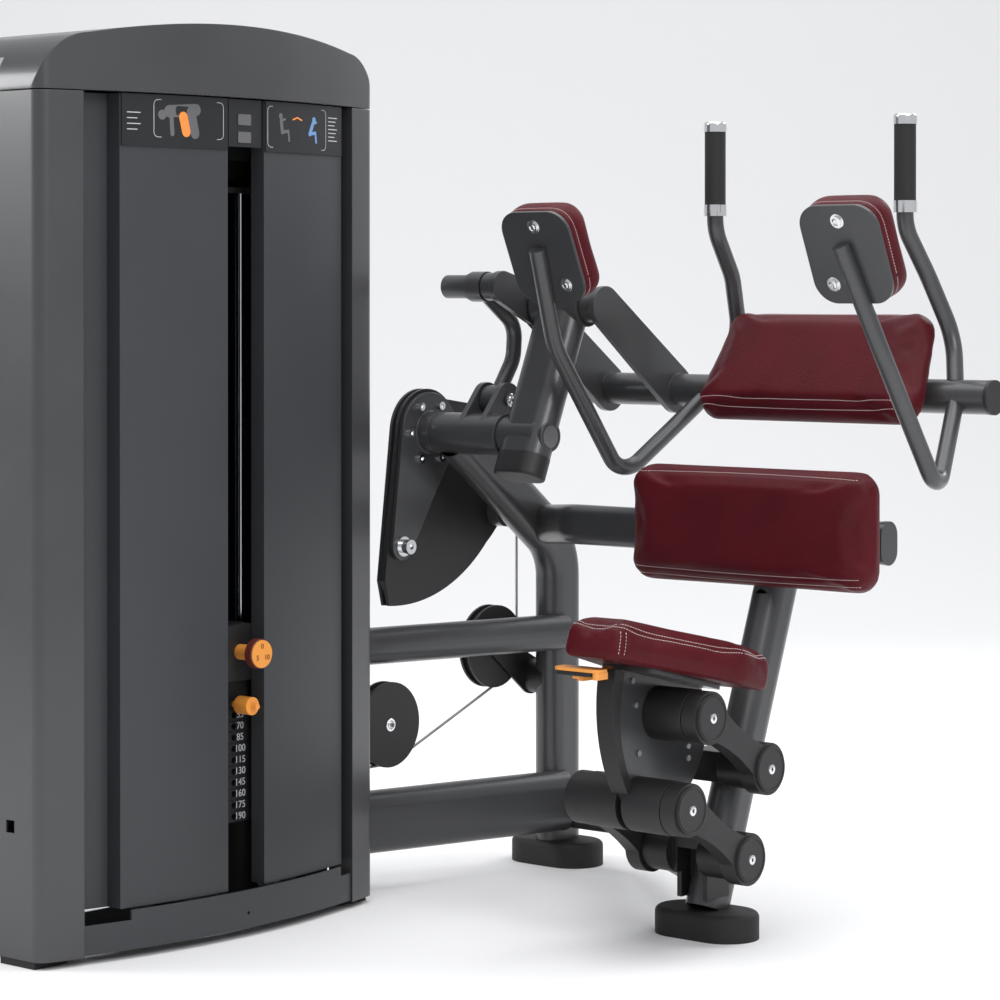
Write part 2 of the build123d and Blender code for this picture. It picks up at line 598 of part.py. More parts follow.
# ---- main arm and cam ----------------------------------------------------------------------
ARM_X = (-480.0, -380.0)
ARM_DEEP = 62.0
ARM_LENGTH = hypot(PIVOT_B[0] - PIVOT_A[0], PIVOT_B[1] - PIVOT_A[1])
ARM_DIR = ((PIVOT_B[0] - PIVOT_A[0]) / ARM_LENGTH, (PIVOT_B[1] - PIVOT_A[1]) / ARM_LENGTH)
CAM_TIP = (-19.0, 609.0)
CAM_FRONT_R = 318.0
CAM_FRONT_ANGLE = -108.0
CAM_REAR_ANGLE = 6.0
CAM_LIFT_ANGLE = -52.0       # the rim is circular from here to its rear end
CAM_HUB_R = 78.0


def along_arm(distance):
    return (sum(ARM_X) / 2, PIVOT_A[0] + ARM_DIR[0] * distance, PIVOT_A[1] + ARM_DIR[1] * distance)


def arm_tube():
    """Flat-oval main arm with its hub at the crunch axis and its barrel at the upper pivot."""
    width = ARM_X[1] - ARM_X[0]
    shape = oval_bar(along_arm(-38), along_arm(ARM_LENGTH + 6), width, ARM_DEEP, (1, 0, 0))
    shape -= oval_bar(along_arm(-40), along_arm(ARM_LENGTH - 34), width - 6, ARM_DEEP - 6, (1, 0, 0))
    shape += disc(PIVOT_B, ARM_X[0] - 4, ARM_X[1] + 4, 36)
    shape += disc(PIVOT_A, ARM_X[0] - 2, ARM_X[1] - 20, 33)
    shape += disc(PIVOT_A, ARM_X[0], ARM_X[1] - 3, 25)
    return shape - disc(PIVOT_A, -700, -300, SHAFT_R - 0.4) - disc(PIVOT_B, -700, -300, 12.4)


def arm_cap():
    """Moulded end cap under the main arm."""
    width = ARM_X[1] - ARM_X[0]
    cap = oval_bar(along_arm(-78), along_arm(-38), width + 1, ARM_DEEP + 1, (1, 0, 0))
    return fillet(cap.edges().sort_by(Axis.Z)[:4], 5) - disc(PIVOT_A, -700, -300, 34)


def arm_shaft():
    """Shaft through the pivot housing that joins the arm to the cam."""
    return disc(PIVOT_A, -694, ARM_X[1] - 2, SHAFT_R - 0.4)


def polar(angle, radius):
    """(Y, Z) at an angle and distance from the crunch axis."""
    return (PIVOT_A[0] + radius * cos(radians(angle)), PIVOT_A[1] + radius * sin(radians(angle)))


def cam_face(rim, hub):
    """Cam sector: circular where the cable winds, and growing towards its front end."""
    front_r = CAM_FRONT_R + rim - CAM_PITCH_R
    tip_front = (CAM_TIP[0] - 38, CAM_TIP[1] - 60)
    rear = polar(CAM_REAR_ANGLE, rim)
    low = polar(CAM_LIFT_ANGLE, rim)
    front = polar(CAM_FRONT_ANGLE, front_r)
    outline = Line(polar(172, hub), tip_front) + Line(tip_front, front)
    middle = polar((CAM_LIFT_ANGLE + CAM_FRONT_ANGLE) / 2, rim + (front_r - rim) * 0.42)
    outline += ThreePointArc(front, middle, low)
    outline += ThreePointArc(low, polar((CAM_LIFT_ANGLE + CAM_REAR_ANGLE) / 2, rim), rear)
    outline += Line(rear, polar(48, hub)) + ThreePointArc(polar(48, hub), polar(110, hub), polar(172, hub))
    return make_face(outline.edges())


def cam_sector():
    """Two flanges and a core that leave a groove for the cable round the rim."""
    core = extrude(Plane.YZ.offset(STACK_X - 4) * cam_face(CAM_PITCH_R - CABLE_R - 0.5, CAM_HUB_R - 4), 8)
    flange = cam_face(CAM_PITCH_R + 5, CAM_HUB_R)
    for x in (STACK_X - 10, STACK_X + 4):
        core += extrude(Plane.YZ.offset(x) * flange, 6)
    return core - disc(PIVOT_A, -710, -600, SHAFT_R - 0.4)


CAM_FACE_X = STACK_X + 10


def cam_plate():
    """Teardrop steel plate on the cam, with the collar that reaches the housing."""
    shape = hull_plate(CAM_FACE_X, CAM_FACE_X + 8, (*PIVOT_A, 72), (*CAM_TIP, 25))
    shape += disc(PIVOT_A, CAM_FACE_X + 8, HOUSING_X[0] - 1.5, HOUSING_R)
    return shape - disc(PIVOT_A, -710, -600, SHAFT_R - 0.4)


def cam_bolts():
    """Six bolts round the hub, and the washer and stop bolt at the plate's lower end."""
    face = CAM_FACE_X + 8
    bolts = [bolt_x(polar(angle, 54), face, 7.5, 6).solid() for angle in range(0, 360, 60)]
    tip = disc(CAM_TIP, face, face + 4, 18) + bolt_x(CAM_TIP, face + 4, 13, 17)
    return Compound(children=bolts + [tip.solid()])


def cable_anchor():
    """Clamp that holds the cable's end at the cam's rear end."""
    y, z = polar(3, CAM_PITCH_R)
    return box((STACK_X - 3.5, STACK_X + 3.5), (y - 2.5, y + 9), (PIVOT_A[1] + 0.5, z + 9))


NODES["arm_tube"] = arm_tube()
NODES["arm_cap"] = arm_cap()
NODES["arm_shaft"] = arm_shaft()
NODES["cam_sector"] = cam_sector() - cable_anchor()
NODES["cam_plate"] = cam_plate()
NODES["cam_bolts"] = cam_bolts()
NODES["cable_anchor"] = cable_anchor()

# ---- link rod ------------------------------------------------------------------------------
LINK_X = -544.0
LINK_HALF = 16.0
LINK_R = 14.0


def link_rod():
    """Bent rod between the housing's lugs and the upper frame's crank, bowed to the rear."""
    points = [
        (LINK_X, PIVOT_C[0] + 4, PIVOT_C[1] + 10),
        (LINK_X, 142, 944),
        (LINK_X, 146, 1004),
        (LINK_X, PIVOT_D[0] + 12, PIVOT_D[1] - 12),
    ]
    path = FilletPolyline(*points, radius=[60, 45])
    bar = sweep(Plane(origin=path @ 0, z_dir=path % 0) * Circle(LINK_R), path=path)
    bar += disc(PIVOT_C, LINK_X - LINK_HALF, LINK_X + LINK_HALF, 26)
    bar += disc(PIVOT_D, LINK_X - LINK_HALF, LINK_X + LINK_HALF, 27)
    bar += disc(PIVOT_D, LINK_X - LINK_HALF - 8, LINK_X - LINK_HALF, 24)
    bar += disc(PIVOT_D, LINK_X - LINK_HALF - 62, LINK_X - LINK_HALF - 8, 21)
    return bar - disc(PIVOT_C, -700, -400, 10.4)


NODES["link_rod"] = link_rod()

# ---- upper frame ---------------------------------------------------------------------------
CROSSBEAM_R = 29.0
CROSSBEAM_X = (-530.0, 326.0)
LEFT_HANGER_X = (-502.0, -490.0)
RIGHT_HANGER_X = (-346.0, -334.0)
BAR_R = 14.5
GRIP_TOP = (199.0, 286.0, 1361.0)
ELBOW_CENTRE = (312.0, -46.0, 1124.0)
ELBOW_TILT = 24.0
BACK_TILT = 28.0
BACK_PAD_THICK = 50.0


def crossbeam_solid():
    return disc(CROSSBEAM, CROSSBEAM_X[0], CROSSBEAM_X[1], CROSSBEAM_R)


def swing_frame():
    """Two hanger plates on the upper pivot, the crank to the link rod, and the crossbeam."""
    shape = crossbeam_solid() - disc(CROSSBEAM, CROSSBEAM_X[0] + 4, CROSSBEAM_X[1] + 5, CROSSBEAM_R - WALL)
    for x0, x1 in (LEFT_HANGER_X, RIGHT_HANGER_X):
        hanger = hull_plate(x0, x1, (*PIVOT_B, 36), (*CROSSBEAM, 42))
        shape += hanger - disc(CROSSBEAM, x0 - 1, x1 + 1, CROSSBEAM_R)
    shape += hull_plate(*LEFT_HANGER_X, (*PIVOT_B, 36), (*PIVOT_D, 28))
    shape += disc(PIVOT_D, LEFT_HANGER_X[0] - 23, LEFT_HANGER_X[0], 25)
    shape += disc(PIVOT_B, ARM_X[1] + 6, RIGHT_HANGER_X[0], 29)
    return shape + disc(PIVOT_B, LEFT_HANGER_X[0], RIGHT_HANGER_X[1], 12)


def crossbeam_cap():
    """Round plastic plug in the crossbeam's free end."""
    plug = disc(CROSSBEAM, CROSSBEAM_X[1], CROSSBEAM_X[1] + 7, CROSSBEAM_R + 0.5)
    return plug + disc(CROSSBEAM, CROSSBEAM_X[1] - 14, CROSSBEAM_X[1], CROSSBEAM_R - WALL)


def handle_bar():
    """Right bar: grip, bend over the crossbeam, U-turn and rise to the elbow pad."""
    points = [
        (GRIP_TOP[0], GRIP_TOP[1], GRIP_TOP[2] - 4),
        (GRIP_TOP[0], GRIP_TOP[1], 1172),
        (206, 346, 1090),
        (226, 395, 985),
        (262, 345, 880),
        (330, 185, 735),
        (337, 10, 970),
        (ELBOW_CENTRE[0], ELBOW_CENTRE[1] - 20, ELBOW_CENTRE[2] + 12),
    ]
    path = FilletPolyline(*points, radius=[70, 120, 90, 140, 42, 200])
    return sweep(Plane(origin=path @ 0, z_dir=path % 0) * Circle(BAR_R), path=path)


def elbow_plane():
    """Plane on the elbow plate's user side: x to the side, y up the plate, z to the user."""
    tilt = radians(ELBOW_TILT)
    return Plane(origin=ELBOW_CENTRE, x_dir=(-1, 0, 0), z_dir=(0, cos(tilt), sin(tilt)))


def elbow_plate():
    outline = RectangleRounded(148, 168, 38)
    sheet = extrude(elbow_plane() * Pos(0, 0, -6) * outline, 6)
    return sheet


def elbow_pad():
    outline = RectangleRounded(156, 176, 40)
    pad = extrude(elbow_plane() * outline, 58)
    far = elbow_plane().offset(58)
    edges = [e for e in pad.edges() if abs((e.center() - far.origin).dot(far.z_dir)) < 0.5]
    return fillet(edges, 20)


def elbow_bolts():
    """Button-head bolts on the plate's far side, above and beside the bar."""
    places = [(0, 58), (36, -50)]
    heads = [extrude(elbow_plane() * Pos(x, y, -11) * Circle(9), 5) for x, y in places]
    return heads[0] + heads[1]


def back_plane():
    """Plane on the upper back pad's plate: x to the side, y up the pad, z to the user."""
    tilt = radians(BACK_TILT)
    reach = CROSSBEAM_R + 7
    origin = (0, CROSSBEAM[0] - reach * cos(tilt), CROSSBEAM[1] + reach * sin(tilt))
    return Plane(origin=origin, x_dir=(1, 0, 0), z_dir=(0, -cos(tilt), sin(tilt)))


def back_plate():
    """Backing plate of the upper back pad, with two spacers on the crossbeam."""
    sheet = extrude(back_plane() * Pos(0, 25, -6) * RectangleRounded(400, 150, 30), 6)
    for x in (-130, 130):
        sheet += extrude(back_plane() * Pos(x, 0, -16) * Rectangle(50, 34), 10)
    return sheet - crossbeam_solid()


def back_pad():
    plane = Plane(back_plane() * Pos(0, -80, 0))
    return cushion(plane, 476, 416, 212, BACK_PAD_THICK, 42, 20)


bar = handle_bar()
NODES["swing_frame"] = swing_frame()
NODES["crossbeam_cap"] = crossbeam_cap()
elbow_block = extrude(elbow_plane() * Pos(0, 0, -6) * Rectangle(190, 200), 90)
NODES["handle_bars"] = mirrored(bar - crossbeam_solid() - elbow_block)
sleeve = Pos(GRIP_TOP[0], GRIP_TOP[1], 1281) * (Cylinder(18.5, 128) - Cylinder(BAR_R, 140))
NODES["handle_grips"] = mirrored(sleeve)
low_collar = Pos(GRIP_TOP[0], GRIP_TOP[1], 1207) * (Cylinder(20, 20) - Cylinder(BAR_R, 30))
top_collar = Pos(GRIP_TOP[0], GRIP_TOP[1], 1354) * Cylinder(20, 18)
top_collar -= Pos(GRIP_TOP[0], GRIP_TOP[1], 1346) * Cylinder(BAR_R, 22)
NODES["grip_collars"] = mirrored(low_collar + fillet(top_collar.edges().sort_by(Axis.Z)[-1], 5))
NODES["elbow_plates"] = mirrored(elbow_plate())
NODES["elbow_pads"] = mirrored(elbow_pad())
NODES["elbow_bolts"] = mirrored(elbow_bolts())
NODES["back_plate"] = back_plate()
NODES["back_pad"] = back_pad()

# ---- seat ----------------------------------------------------------------------------------
LINK_DISC_R = 43.0
LINK_IN_X = 84.0
LINK_OUT_X = 112.0
SEAT_TILT = 13.5
SEAT_FRONT = (0.0, -300.0, 553.0)
SEAT_LENGTH = 335.0
LEVER_PIVOT = (-232.0, 452.0)


def dog_bone(low, high, x0, x1):
    """Moulded link with a round end at each pivot and a waisted middle."""
    span = Vector(high[0] - low[0], high[1] - low[1])
    turn = degrees(atan2(span.Y, span.X))
    length = hypot(span.X, span.Y)
    waist = 21.0
    reach = LINK_DISC_R * 0.82
    side = ThreePointArc((0, reach), (length / 2, waist), (length, reach))
    outline = side + Line((length, reach), (length, -reach))
    outline += ThreePointArc((length, -reach), (length / 2, -waist), (0, -reach))
    outline += Line((0, -reach), (0, reach))
    body = make_face(outline.edges()) + Circle(LINK_DISC_R) + Pos(length, 0) * Circle(LINK_DISC_R)
    shape = extrude(Plane.YZ.offset(x0) * Pos(*low) * Rot(0, 0, turn) * body, x1 - x0)
    return shape


def link_ends(low, high, x0, x1):
    """Raised round covers at both ends of a link, and the screw in the middle of each."""
    covers = disc(low, x0, x1, LINK_DISC_R - 5) + disc(high, x0, x1, LINK_DISC_R - 5)
    return covers + disc(low, x1, x1 + 1.5, 7) + disc(high, x1, x1 + 1.5, 7)


def seat_link_upper():
    link = dog_bone(SEAT_P1, SEAT_Q1, LINK_IN_X, LINK_OUT_X)
    return link + link_ends(SEAT_P1, SEAT_Q1, LINK_OUT_X, LINK_OUT_X + 4)


def seat_link_lower():
    link = dog_bone(SEAT_P2, SEAT_Q2, LINK_IN_X, LINK_OUT_X)
    link += link_ends(SEAT_P2, SEAT_Q2, LINK_OUT_X, LINK_OUT_X + 4)
    return link + dog_bone(SEAT_P2, SEAT_Q2, -LINK_OUT_X, -LINK_IN_X)


def post_bracket():
    """Bracket bolted to the post's front, with the hubs of the fixed link pivots."""
    parts = box((-31, 31), (-52, 30), (108, 178)) + box((-31, 31), (-8, 80), (256, 306))
    parts += box((-31, 31), (-40, 20), (66, 110))
    parts = parts - seat_post_solid() - cross_beam() - box((-22, 22), (-60, -14), (60, 150))
    parts += disc(SEAT_P1, 31, LINK_IN_X - 1, LINK_DISC_R - 6)
    parts += disc(SEAT_P2, 31, LINK_IN_X - 1, LINK_DISC_R - 6)
    parts += disc(SEAT_P2, -LINK_IN_X + 1, -31, LINK_DISC_R - 6)
    return parts


def seat_plane(down=0.0):
    """Plane on the cushion's top: x to the side, y towards the rear, z up out of the seat."""
    tilt = radians(SEAT_TILT)
    plane = Plane(origin=SEAT_FRONT, x_dir=(1, 0, 0), z_dir=(0, sin(tilt), cos(tilt)))
    return plane.offset(-down)


SEAT_THICK = 66.0


def seat_carriage():
    """Side plate between the links, with the seat's mounting plate on its top edge."""
    arc_mid = (-232, 330)
    outline = Line((-226, 500), (-40, 500)) + Line((-40, 500), (-8, 340))
    outline += ThreePointArc((-8, 340), (-40, 270), (-120, 212)) + Line((-120, 212), (-160, 212))
    outline += ThreePointArc((-160, 212), arc_mid, (-226, 500))
    plate_solid = extrude(Plane.YZ.offset(-6) * make_face(outline.edges()), 12)
    under = seat_plane(SEAT_THICK + 8)
    plate_solid = split(plate_solid, bisect_by=under, keep=Keep.BOTTOM)
    top = extrude(under * Pos(0, 200) * RectangleRounded(110, 190, 12), 8)
    return plate_solid + top


def seat_hubs():
    """Black hubs on the carriage that the links turn on."""
    hubs = disc(SEAT_Q1, 6, LINK_IN_X - 1, 44)
    hubs += disc(SEAT_Q2, 6, LINK_IN_X - 1, 44)
    return hubs + disc(SEAT_Q2, -LINK_IN_X + 1, -6, 44)


def rack_cover():
    """Curved black strip along the carriage's front edge."""
    outer = ThreePointArc((-176, 196), (-262, 340), (-262, 464))
    outline = outer + Line((-262, 464), (-238, 458)) + ThreePointArc((-238, 458), (-243, 330), (-160, 212))
    outline += Line((-160, 212), (-176, 196))
    strip = extrude(Plane.YZ.offset(-17) * make_face(outline.edges()), 34)
    return strip


def seat_screws():
    places = [(-206, 440), (-190, 322), (-198, 400), (-60, 320), (-60, 395), (-60, 300)]
    heads = [disc(place, 6, 9, 5).solid() for place in places]
    return Compound(children=heads)


def seat_pad():
    """Plain closed solid of the tapered seat cushion."""
    right = [(56, 0), (132, 250), (128, SEAT_LENGTH)]
    left = [(-x, y) for x, y in reversed(right)]
    outline = make_face(Polyline(*right, *left, right[0]).edges())
    outline = fillet(outline.vertices(), 24)
    pad = extrude(seat_plane(SEAT_THICK) * outline, SEAT_THICK)
    top = seat_plane()
    edges = [e for e in pad.edges() if abs((e.center() - top.origin).dot(top.z_dir)) < 0.5]
    return fillet(edges, 22)


def seat_lever():
    """Paddle that frees the seat's height lock."""
    y, z = LEVER_PIVOT
    paddle = Pos(-26, -296, 464.5) * Box(92, 34, 5)
    paddle = fillet(paddle.edges().filter_by(Axis.Z), 12)
    arm = box((-30, -18.5), (-300, y + 6), (446, 457)) + disc(LEVER_PIVOT, -30, -18.5, 12)
    arm += box((-34, -18.5), (-308, -286), (450, 463))
    return paddle + arm


carriage = seat_carriage()
cover = rack_cover()
NODES["seat_link_upper"] = seat_link_upper()
NODES["seat_link_lower"] = seat_link_lower()
NODES["post_bracket"] = post_bracket()
NODES["seat_carriage"] = carriage - cover
NODES["seat_hubs"] = seat_hubs() - carriage - cover
NODES["rack_cover"] = cover
NODES["seat_screws"] = seat_screws()
NODES["seat_pad"] = seat_pad()
NODES["seat_lever"] = seat_lever()

for name, shape in NODES.items():
    export_step(shape, f"parts/{name}.step")
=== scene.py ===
import bpy
import bmesh
import json
import math
from mathutils import Matrix, Vector
from mathutils.bvhtree import BVHTree
from mathutils.kdtree import KDTree


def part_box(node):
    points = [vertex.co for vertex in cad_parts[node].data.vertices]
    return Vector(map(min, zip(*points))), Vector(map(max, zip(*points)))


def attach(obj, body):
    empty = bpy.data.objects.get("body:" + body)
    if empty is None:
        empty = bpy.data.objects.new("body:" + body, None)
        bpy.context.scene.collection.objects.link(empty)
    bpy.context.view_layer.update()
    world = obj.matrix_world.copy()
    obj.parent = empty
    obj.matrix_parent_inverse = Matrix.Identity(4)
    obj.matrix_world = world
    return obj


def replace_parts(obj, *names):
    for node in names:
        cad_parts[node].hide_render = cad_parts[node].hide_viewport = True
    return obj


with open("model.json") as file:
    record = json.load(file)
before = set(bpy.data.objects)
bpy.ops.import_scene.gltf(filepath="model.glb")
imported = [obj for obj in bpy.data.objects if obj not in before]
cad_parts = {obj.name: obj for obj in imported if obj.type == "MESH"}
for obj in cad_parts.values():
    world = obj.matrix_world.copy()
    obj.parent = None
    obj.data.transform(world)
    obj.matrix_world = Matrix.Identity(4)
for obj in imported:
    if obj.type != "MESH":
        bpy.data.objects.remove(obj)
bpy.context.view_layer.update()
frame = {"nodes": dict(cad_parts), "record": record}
NODES = frame["nodes"]

# ---- places and sizes of the design, in metres ---------------------------------------------
TOWER_Y = -0.532
FRONT_R = 1.240
FRONT_CX = -0.555 - FRONT_R
PIVOT_A = Vector((0.0, 0.054, 0.811))
PIVOT_B_YZ = (0.149, 1.038)
PIVOT_C_YZ = (0.095, 0.871)
TOWER_PULLEY_YZ = (-0.045, 0.292)
ELBOW_CENTRE = (0.312, -0.046, 1.124)
ELBOW_TILT = math.radians(24)
BACK_TILT = math.radians(28)
SEAT_TILT = math.radians(13.5)
CAM_CORE_R = 0.2597           # radius that the cable lies on in the cam's groove
STACK_X = -0.684
STACK_Y = -0.490
PLATE_FRONT_X = STACK_X + 0.070
FIRST_PLATE_Z = 0.378
PLATE_PITCH = 0.0188
PLATE_COUNT = 11
FIRST_WEIGHT = 40
WEIGHT_STEP = 15
DIAL = Vector((-0.547, STACK_Y, 0.466))


def collection_link(obj):
    """Puts a new object in the scene."""
    bpy.context.scene.collection.objects.link(obj)
    return obj


# ---- materials -----------------------------------------------------------------------------
def material(name, color, roughness, metallic=0.0, grain=None, tint=0.12, rough_swing=0.08,
             bevel=0.0, coat=0.0, sheen=0.0, specular=0.5, tint_scale=6.0):
    """Procedural finish: colour and roughness vary slowly, and a fine grain is bumped in."""
    mat = bpy.data.materials.new(name)
    mat.use_nodes = True
    nodes, links = mat.node_tree.nodes, mat.node_tree.links
    shader = nodes["Principled BSDF"]
    shader.inputs["Metallic"].default_value = metallic
    shader.inputs["Specular IOR Level"].default_value = specular
    shader.inputs["Coat Weight"].default_value = coat
    shader.inputs["Coat Roughness"].default_value = 0.15
    shader.inputs["Sheen Weight"].default_value = sheen
    place = nodes.new("ShaderNodeTexCoord")
    slow = nodes.new("ShaderNodeTexNoise")
    slow.inputs["Scale"].default_value = tint_scale
    slow.inputs["Detail"].default_value = 5.0
    links.new(place.outputs["Object"], slow.inputs["Vector"])
    ramp = nodes.new("ShaderNodeValToRGB")
    ramp.color_ramp.elements[0].position = 0.3
    ramp.color_ramp.elements[1].position = 0.7
    ramp.color_ramp.elements[0].color = [c * (1 - tint) for c in color] + [1]
    ramp.color_ramp.elements[1].color = [min(1, c * (1 + tint)) for c in color] + [1]
    links.new(slow.outputs["Fac"], ramp.inputs["Fac"])
    links.new(ramp.outputs["Color"], shader.inputs["Base Color"])
    spread = nodes.new("ShaderNodeMapRange")
    spread.inputs["To Min"].default_value = roughness - rough_swing
    spread.inputs["To Max"].default_value = roughness + rough_swing
    links.new(slow.outputs["Fac"], spread.inputs["Value"])
    links.new(spread.outputs["Result"], shader.inputs["Roughness"])
    normal = None
    if bevel:
        soft = nodes.new("ShaderNodeBevel")
        soft.samples = 4
        soft.inputs["Radius"].default_value = bevel
        normal = soft.outputs["Normal"]
    if grain:
        kind, scale, depth = grain
        fine = nodes.new({"noise": "ShaderNodeTexNoise", "cells": "ShaderNodeTexVoronoi",
                          "twist": "ShaderNodeTexWave"}[kind])
        fine.inputs["Scale"].default_value = scale
        if kind == "twist":
            fine.bands_direction = "DIAGONAL"
        links.new(place.outputs["Object"], fine.inputs["Vector"])
        bump = nodes.new("ShaderNodeBump")
        bump.inputs["Strength"].default_value = 0.6
        bump.inputs["Distance"].default_value = depth
        height = fine.outputs["Distance"] if kind == "cells" else fine.outputs["Fac"]
        links.new(height, bump.inputs["Height"])
        if normal:
            links.new(normal, bump.inputs["Normal"])
        normal = bump.outputs["Normal"]
    if normal:
        links.new(normal, shader.inputs["Normal"])
    return mat


def leather_material():
    """Burgundy vinyl: pebbled grain, soft sheen, and slow shade changes."""
    mat = material("burgundy_vinyl", (0.074, 0.003, 0.007), 0.46, grain=("cells", 620.0, 0.0005),
                   tint=0.16, rough_swing=0.06, sheen=0.04, specular=0.18, tint_scale=9.0)
    nodes, links = mat.node_tree.nodes, mat.node_tree.links
    place = next(n for n in nodes if n.type == "TEX_COORD")
    first = next(n for n in nodes if n.type == "BUMP")
    pores = nodes.new("ShaderNodeTexNoise")
    pores.inputs["Scale"].default_value = 190.0
    pores.inputs["Detail"].default_value = 6.0
    links.new(place.outputs["Object"], pores.inputs["Vector"])
    second = nodes.new("ShaderNodeBump")
    second.inputs["Strength"].default_value = 0.35
    second.inputs["Distance"].default_value = 0.0012
    links.new(pores.outputs["Fac"], second.inputs["Height"])
    links.new(first.outputs["Normal"], second.inputs["Normal"])
    links.new(second.outputs["Normal"], nodes["Principled BSDF"].inputs["Normal"])
    nodes["Principled BSDF"].inputs["Sheen Roughness"].default_value = 0.4
    nodes["Principled BSDF"].inputs["Sheen Tint"].default_value = (0.8, 0.45, 0.48, 1)
    return mat


FINISH = {
    "frame_paint": material("charcoal_powder", (0.062, 0.063, 0.065), 0.33, metallic=0.35,
                            grain=("noise", 900.0, 0.00025), tint=0.06, bevel=0.0025, coat=0.25),
    "shroud": material("satin_shroud", (0.034, 0.037, 0.041), 0.40, grain=("noise", 500.0, 0.0001),
                       tint=0.08, rough_swing=0.05, tint_scale=2.5),
    "black_plastic": material("moulded_black", (0.012, 0.012, 0.013), 0.46,
                              grain=("cells", 900.0, 0.0003), bevel=0.0015),
    "black_metal": material("satin_black_metal", (0.014, 0.014, 0.015), 0.40,
                            grain=("noise", 700.0, 0.0002), metallic=0.2, bevel=0.001),
    "rubber": material("black_rubber", (0.010, 0.010, 0.011), 0.68, grain=("noise", 650.0, 0.0006)),
    "upholstery": leather_material(),
    "chrome": material("polished_chrome", (0.78, 0.79, 0.80), 0.13, metallic=1.0, tint=0.04,
                       rough_swing=0.05, grain=("noise", 60.0, 0.0001)),
    "steel": material("wire_steel", (0.42, 0.42, 0.43), 0.34, metallic=1.0,
                      grain=("twist", 420.0, 0.0004), tint=0.2),
    "orange": material("orange_plastic", (0.88, 0.34, 0.055), 0.34, grain=("cells", 800.0, 0.0001),
                       tint=0.05, coat=0.2, bevel=0.001),
    "label": material("label_film", (0.012, 0.013, 0.015), 0.30, grain=("noise", 300.0, 0.00005)),
    "weight_iron": material("stack_black", (0.012, 0.012, 0.013), 0.5, grain=("noise", 420.0, 0.0005),
                            bevel=0.001),
}
THREAD = material("pale_thread", (0.62, 0.50, 0.49), 0.7, grain=("twist", 900.0, 0.0002))
PRINT_WHITE = material("print_white", (0.55, 0.56, 0.57), 0.5, grain=("noise", 400.0, 0.00005))
PRINT_ORANGE = material("print_orange", (0.85, 0.28, 0.05), 0.45, grain=("noise", 400.0, 0.00005))
PRINT_BLUE = material("print_blue", (0.14, 0.30, 0.55), 0.45, grain=("noise", 400.0, 0.00005))
PRINT_GREY = material("print_grey", (0.12, 0.12, 0.125), 0.45, grain=("noise", 400.0, 0.00005))
DARK_RIM = material("dark_red_rim", (0.10, 0.015, 0.01), 0.5, grain=("cells", 700.0, 0.0002))

for entry in frame["record"]["subparts"]:
    shown = NODES[entry["node"]]
    shown.data.materials.clear()
    shown.data.materials.append(FINISH[entry["material_slot"]])


# ---- mesh helpers --------------------------------------------------------------------------
def new_piece(name, mesh, mat, body, smooth=True):
    obj = collection_link(bpy.data.objects.new(name, mesh))
    obj.data.materials.append(mat)
    if smooth:
        for polygon in obj.data.polygons:
            polygon.use_smooth = True
    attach(obj, body)
    return obj


def finished(mesh, name, outward=True):
    """Turns a bmesh into mesh data, with its faces pointing outwards."""
    if outward:
        bmesh.ops.recalc_face_normals(mesh, faces=mesh.faces)
    data = bpy.data.meshes.new(name)
    mesh.to_mesh(data)
    mesh.free()
    return data


def close_rings(mesh, rings):
    """Joins a row of vertex rings into a closed shell."""
    count = len(rings[0])
    for a, b in zip(rings, rings[1:]):
        for i in range(count):
            j = (i + 1) % count
            mesh.faces.new((a[i], a[j], b[j], b[i]))
    mesh.faces.new(rings[0])
    mesh.faces.new(rings[-1])


def frame_matrix(origin, x_dir, z_dir):
    """Matrix of a local frame: x and z as given, y square to both."""
    x = Vector(x_dir).normalized()
    z = Vector(z_dir).normalized()
    y = z.cross(x)
    rotation = Matrix((x, y, z)).transposed().to_4x4()
    return Matrix.Translation(Vector(origin)) @ rotation


def rounded(corners, radius, steps=8):
    """Closed outline through convex corners, all rounded by one radius."""
    points = []
    count = len(corners)
    for i in range(count):
        before, here, after = (Vector(corners[(i + k) % count]) for k in (-1, 0, 1))
        a, b = (before - here).normalized(), (after - here).normalized()
        half = math.acos(max(-1, min(1, a.dot(b)))) / 2
        reach = radius / math.tan(half)
        centre = here + (a + b).normalized() * (radius / math.sin(half))
        start, end = here + a * reach - centre, here + b * reach - centre
        turn = math.atan2(start.x * end.y - start.y * end.x, start.dot(end))
        for k in range(steps + 1):
            angle = turn * k / steps
            spun = Vector((start.x * math.cos(angle) - start.y * math.sin(angle),
                           start.x * math.sin(angle) + start.y * math.cos(angle)))
            points.append(centre + spun)
    return points


def inset_outline(points, distance):
    """Moves a counter-clockwise outline inwards."""
    count = len(points)
    moved = []
    for i in range(count):
        edge = points[(i + 1) % count] - points[i - 1]
        inward = Vector((-edge.y, edge.x)).normalized()
        moved.append(points[i] + inward * distance)
    return moved


# ---- cushions ------------------------------------------------------------------------------
REMESH = 0.005
PUFF_CAP = 0.007          # the furthest that the simulation may move a point
SLIM_SIDE = 0.003         # a cushion starts this much smaller at its sides
SLIM_FRONT = 0.005        # and this much thinner
BOARD_SHARE = 0.25        # share of the depth that is held by the back board
SIM_FRAMES = 20
SEAM_START = 0.4          # seams are dropped on a pad from this far in front
STITCH_PITCH = 0.0052
THREAD_HALF = 0.00065
THREAD_HIGH = 0.0009


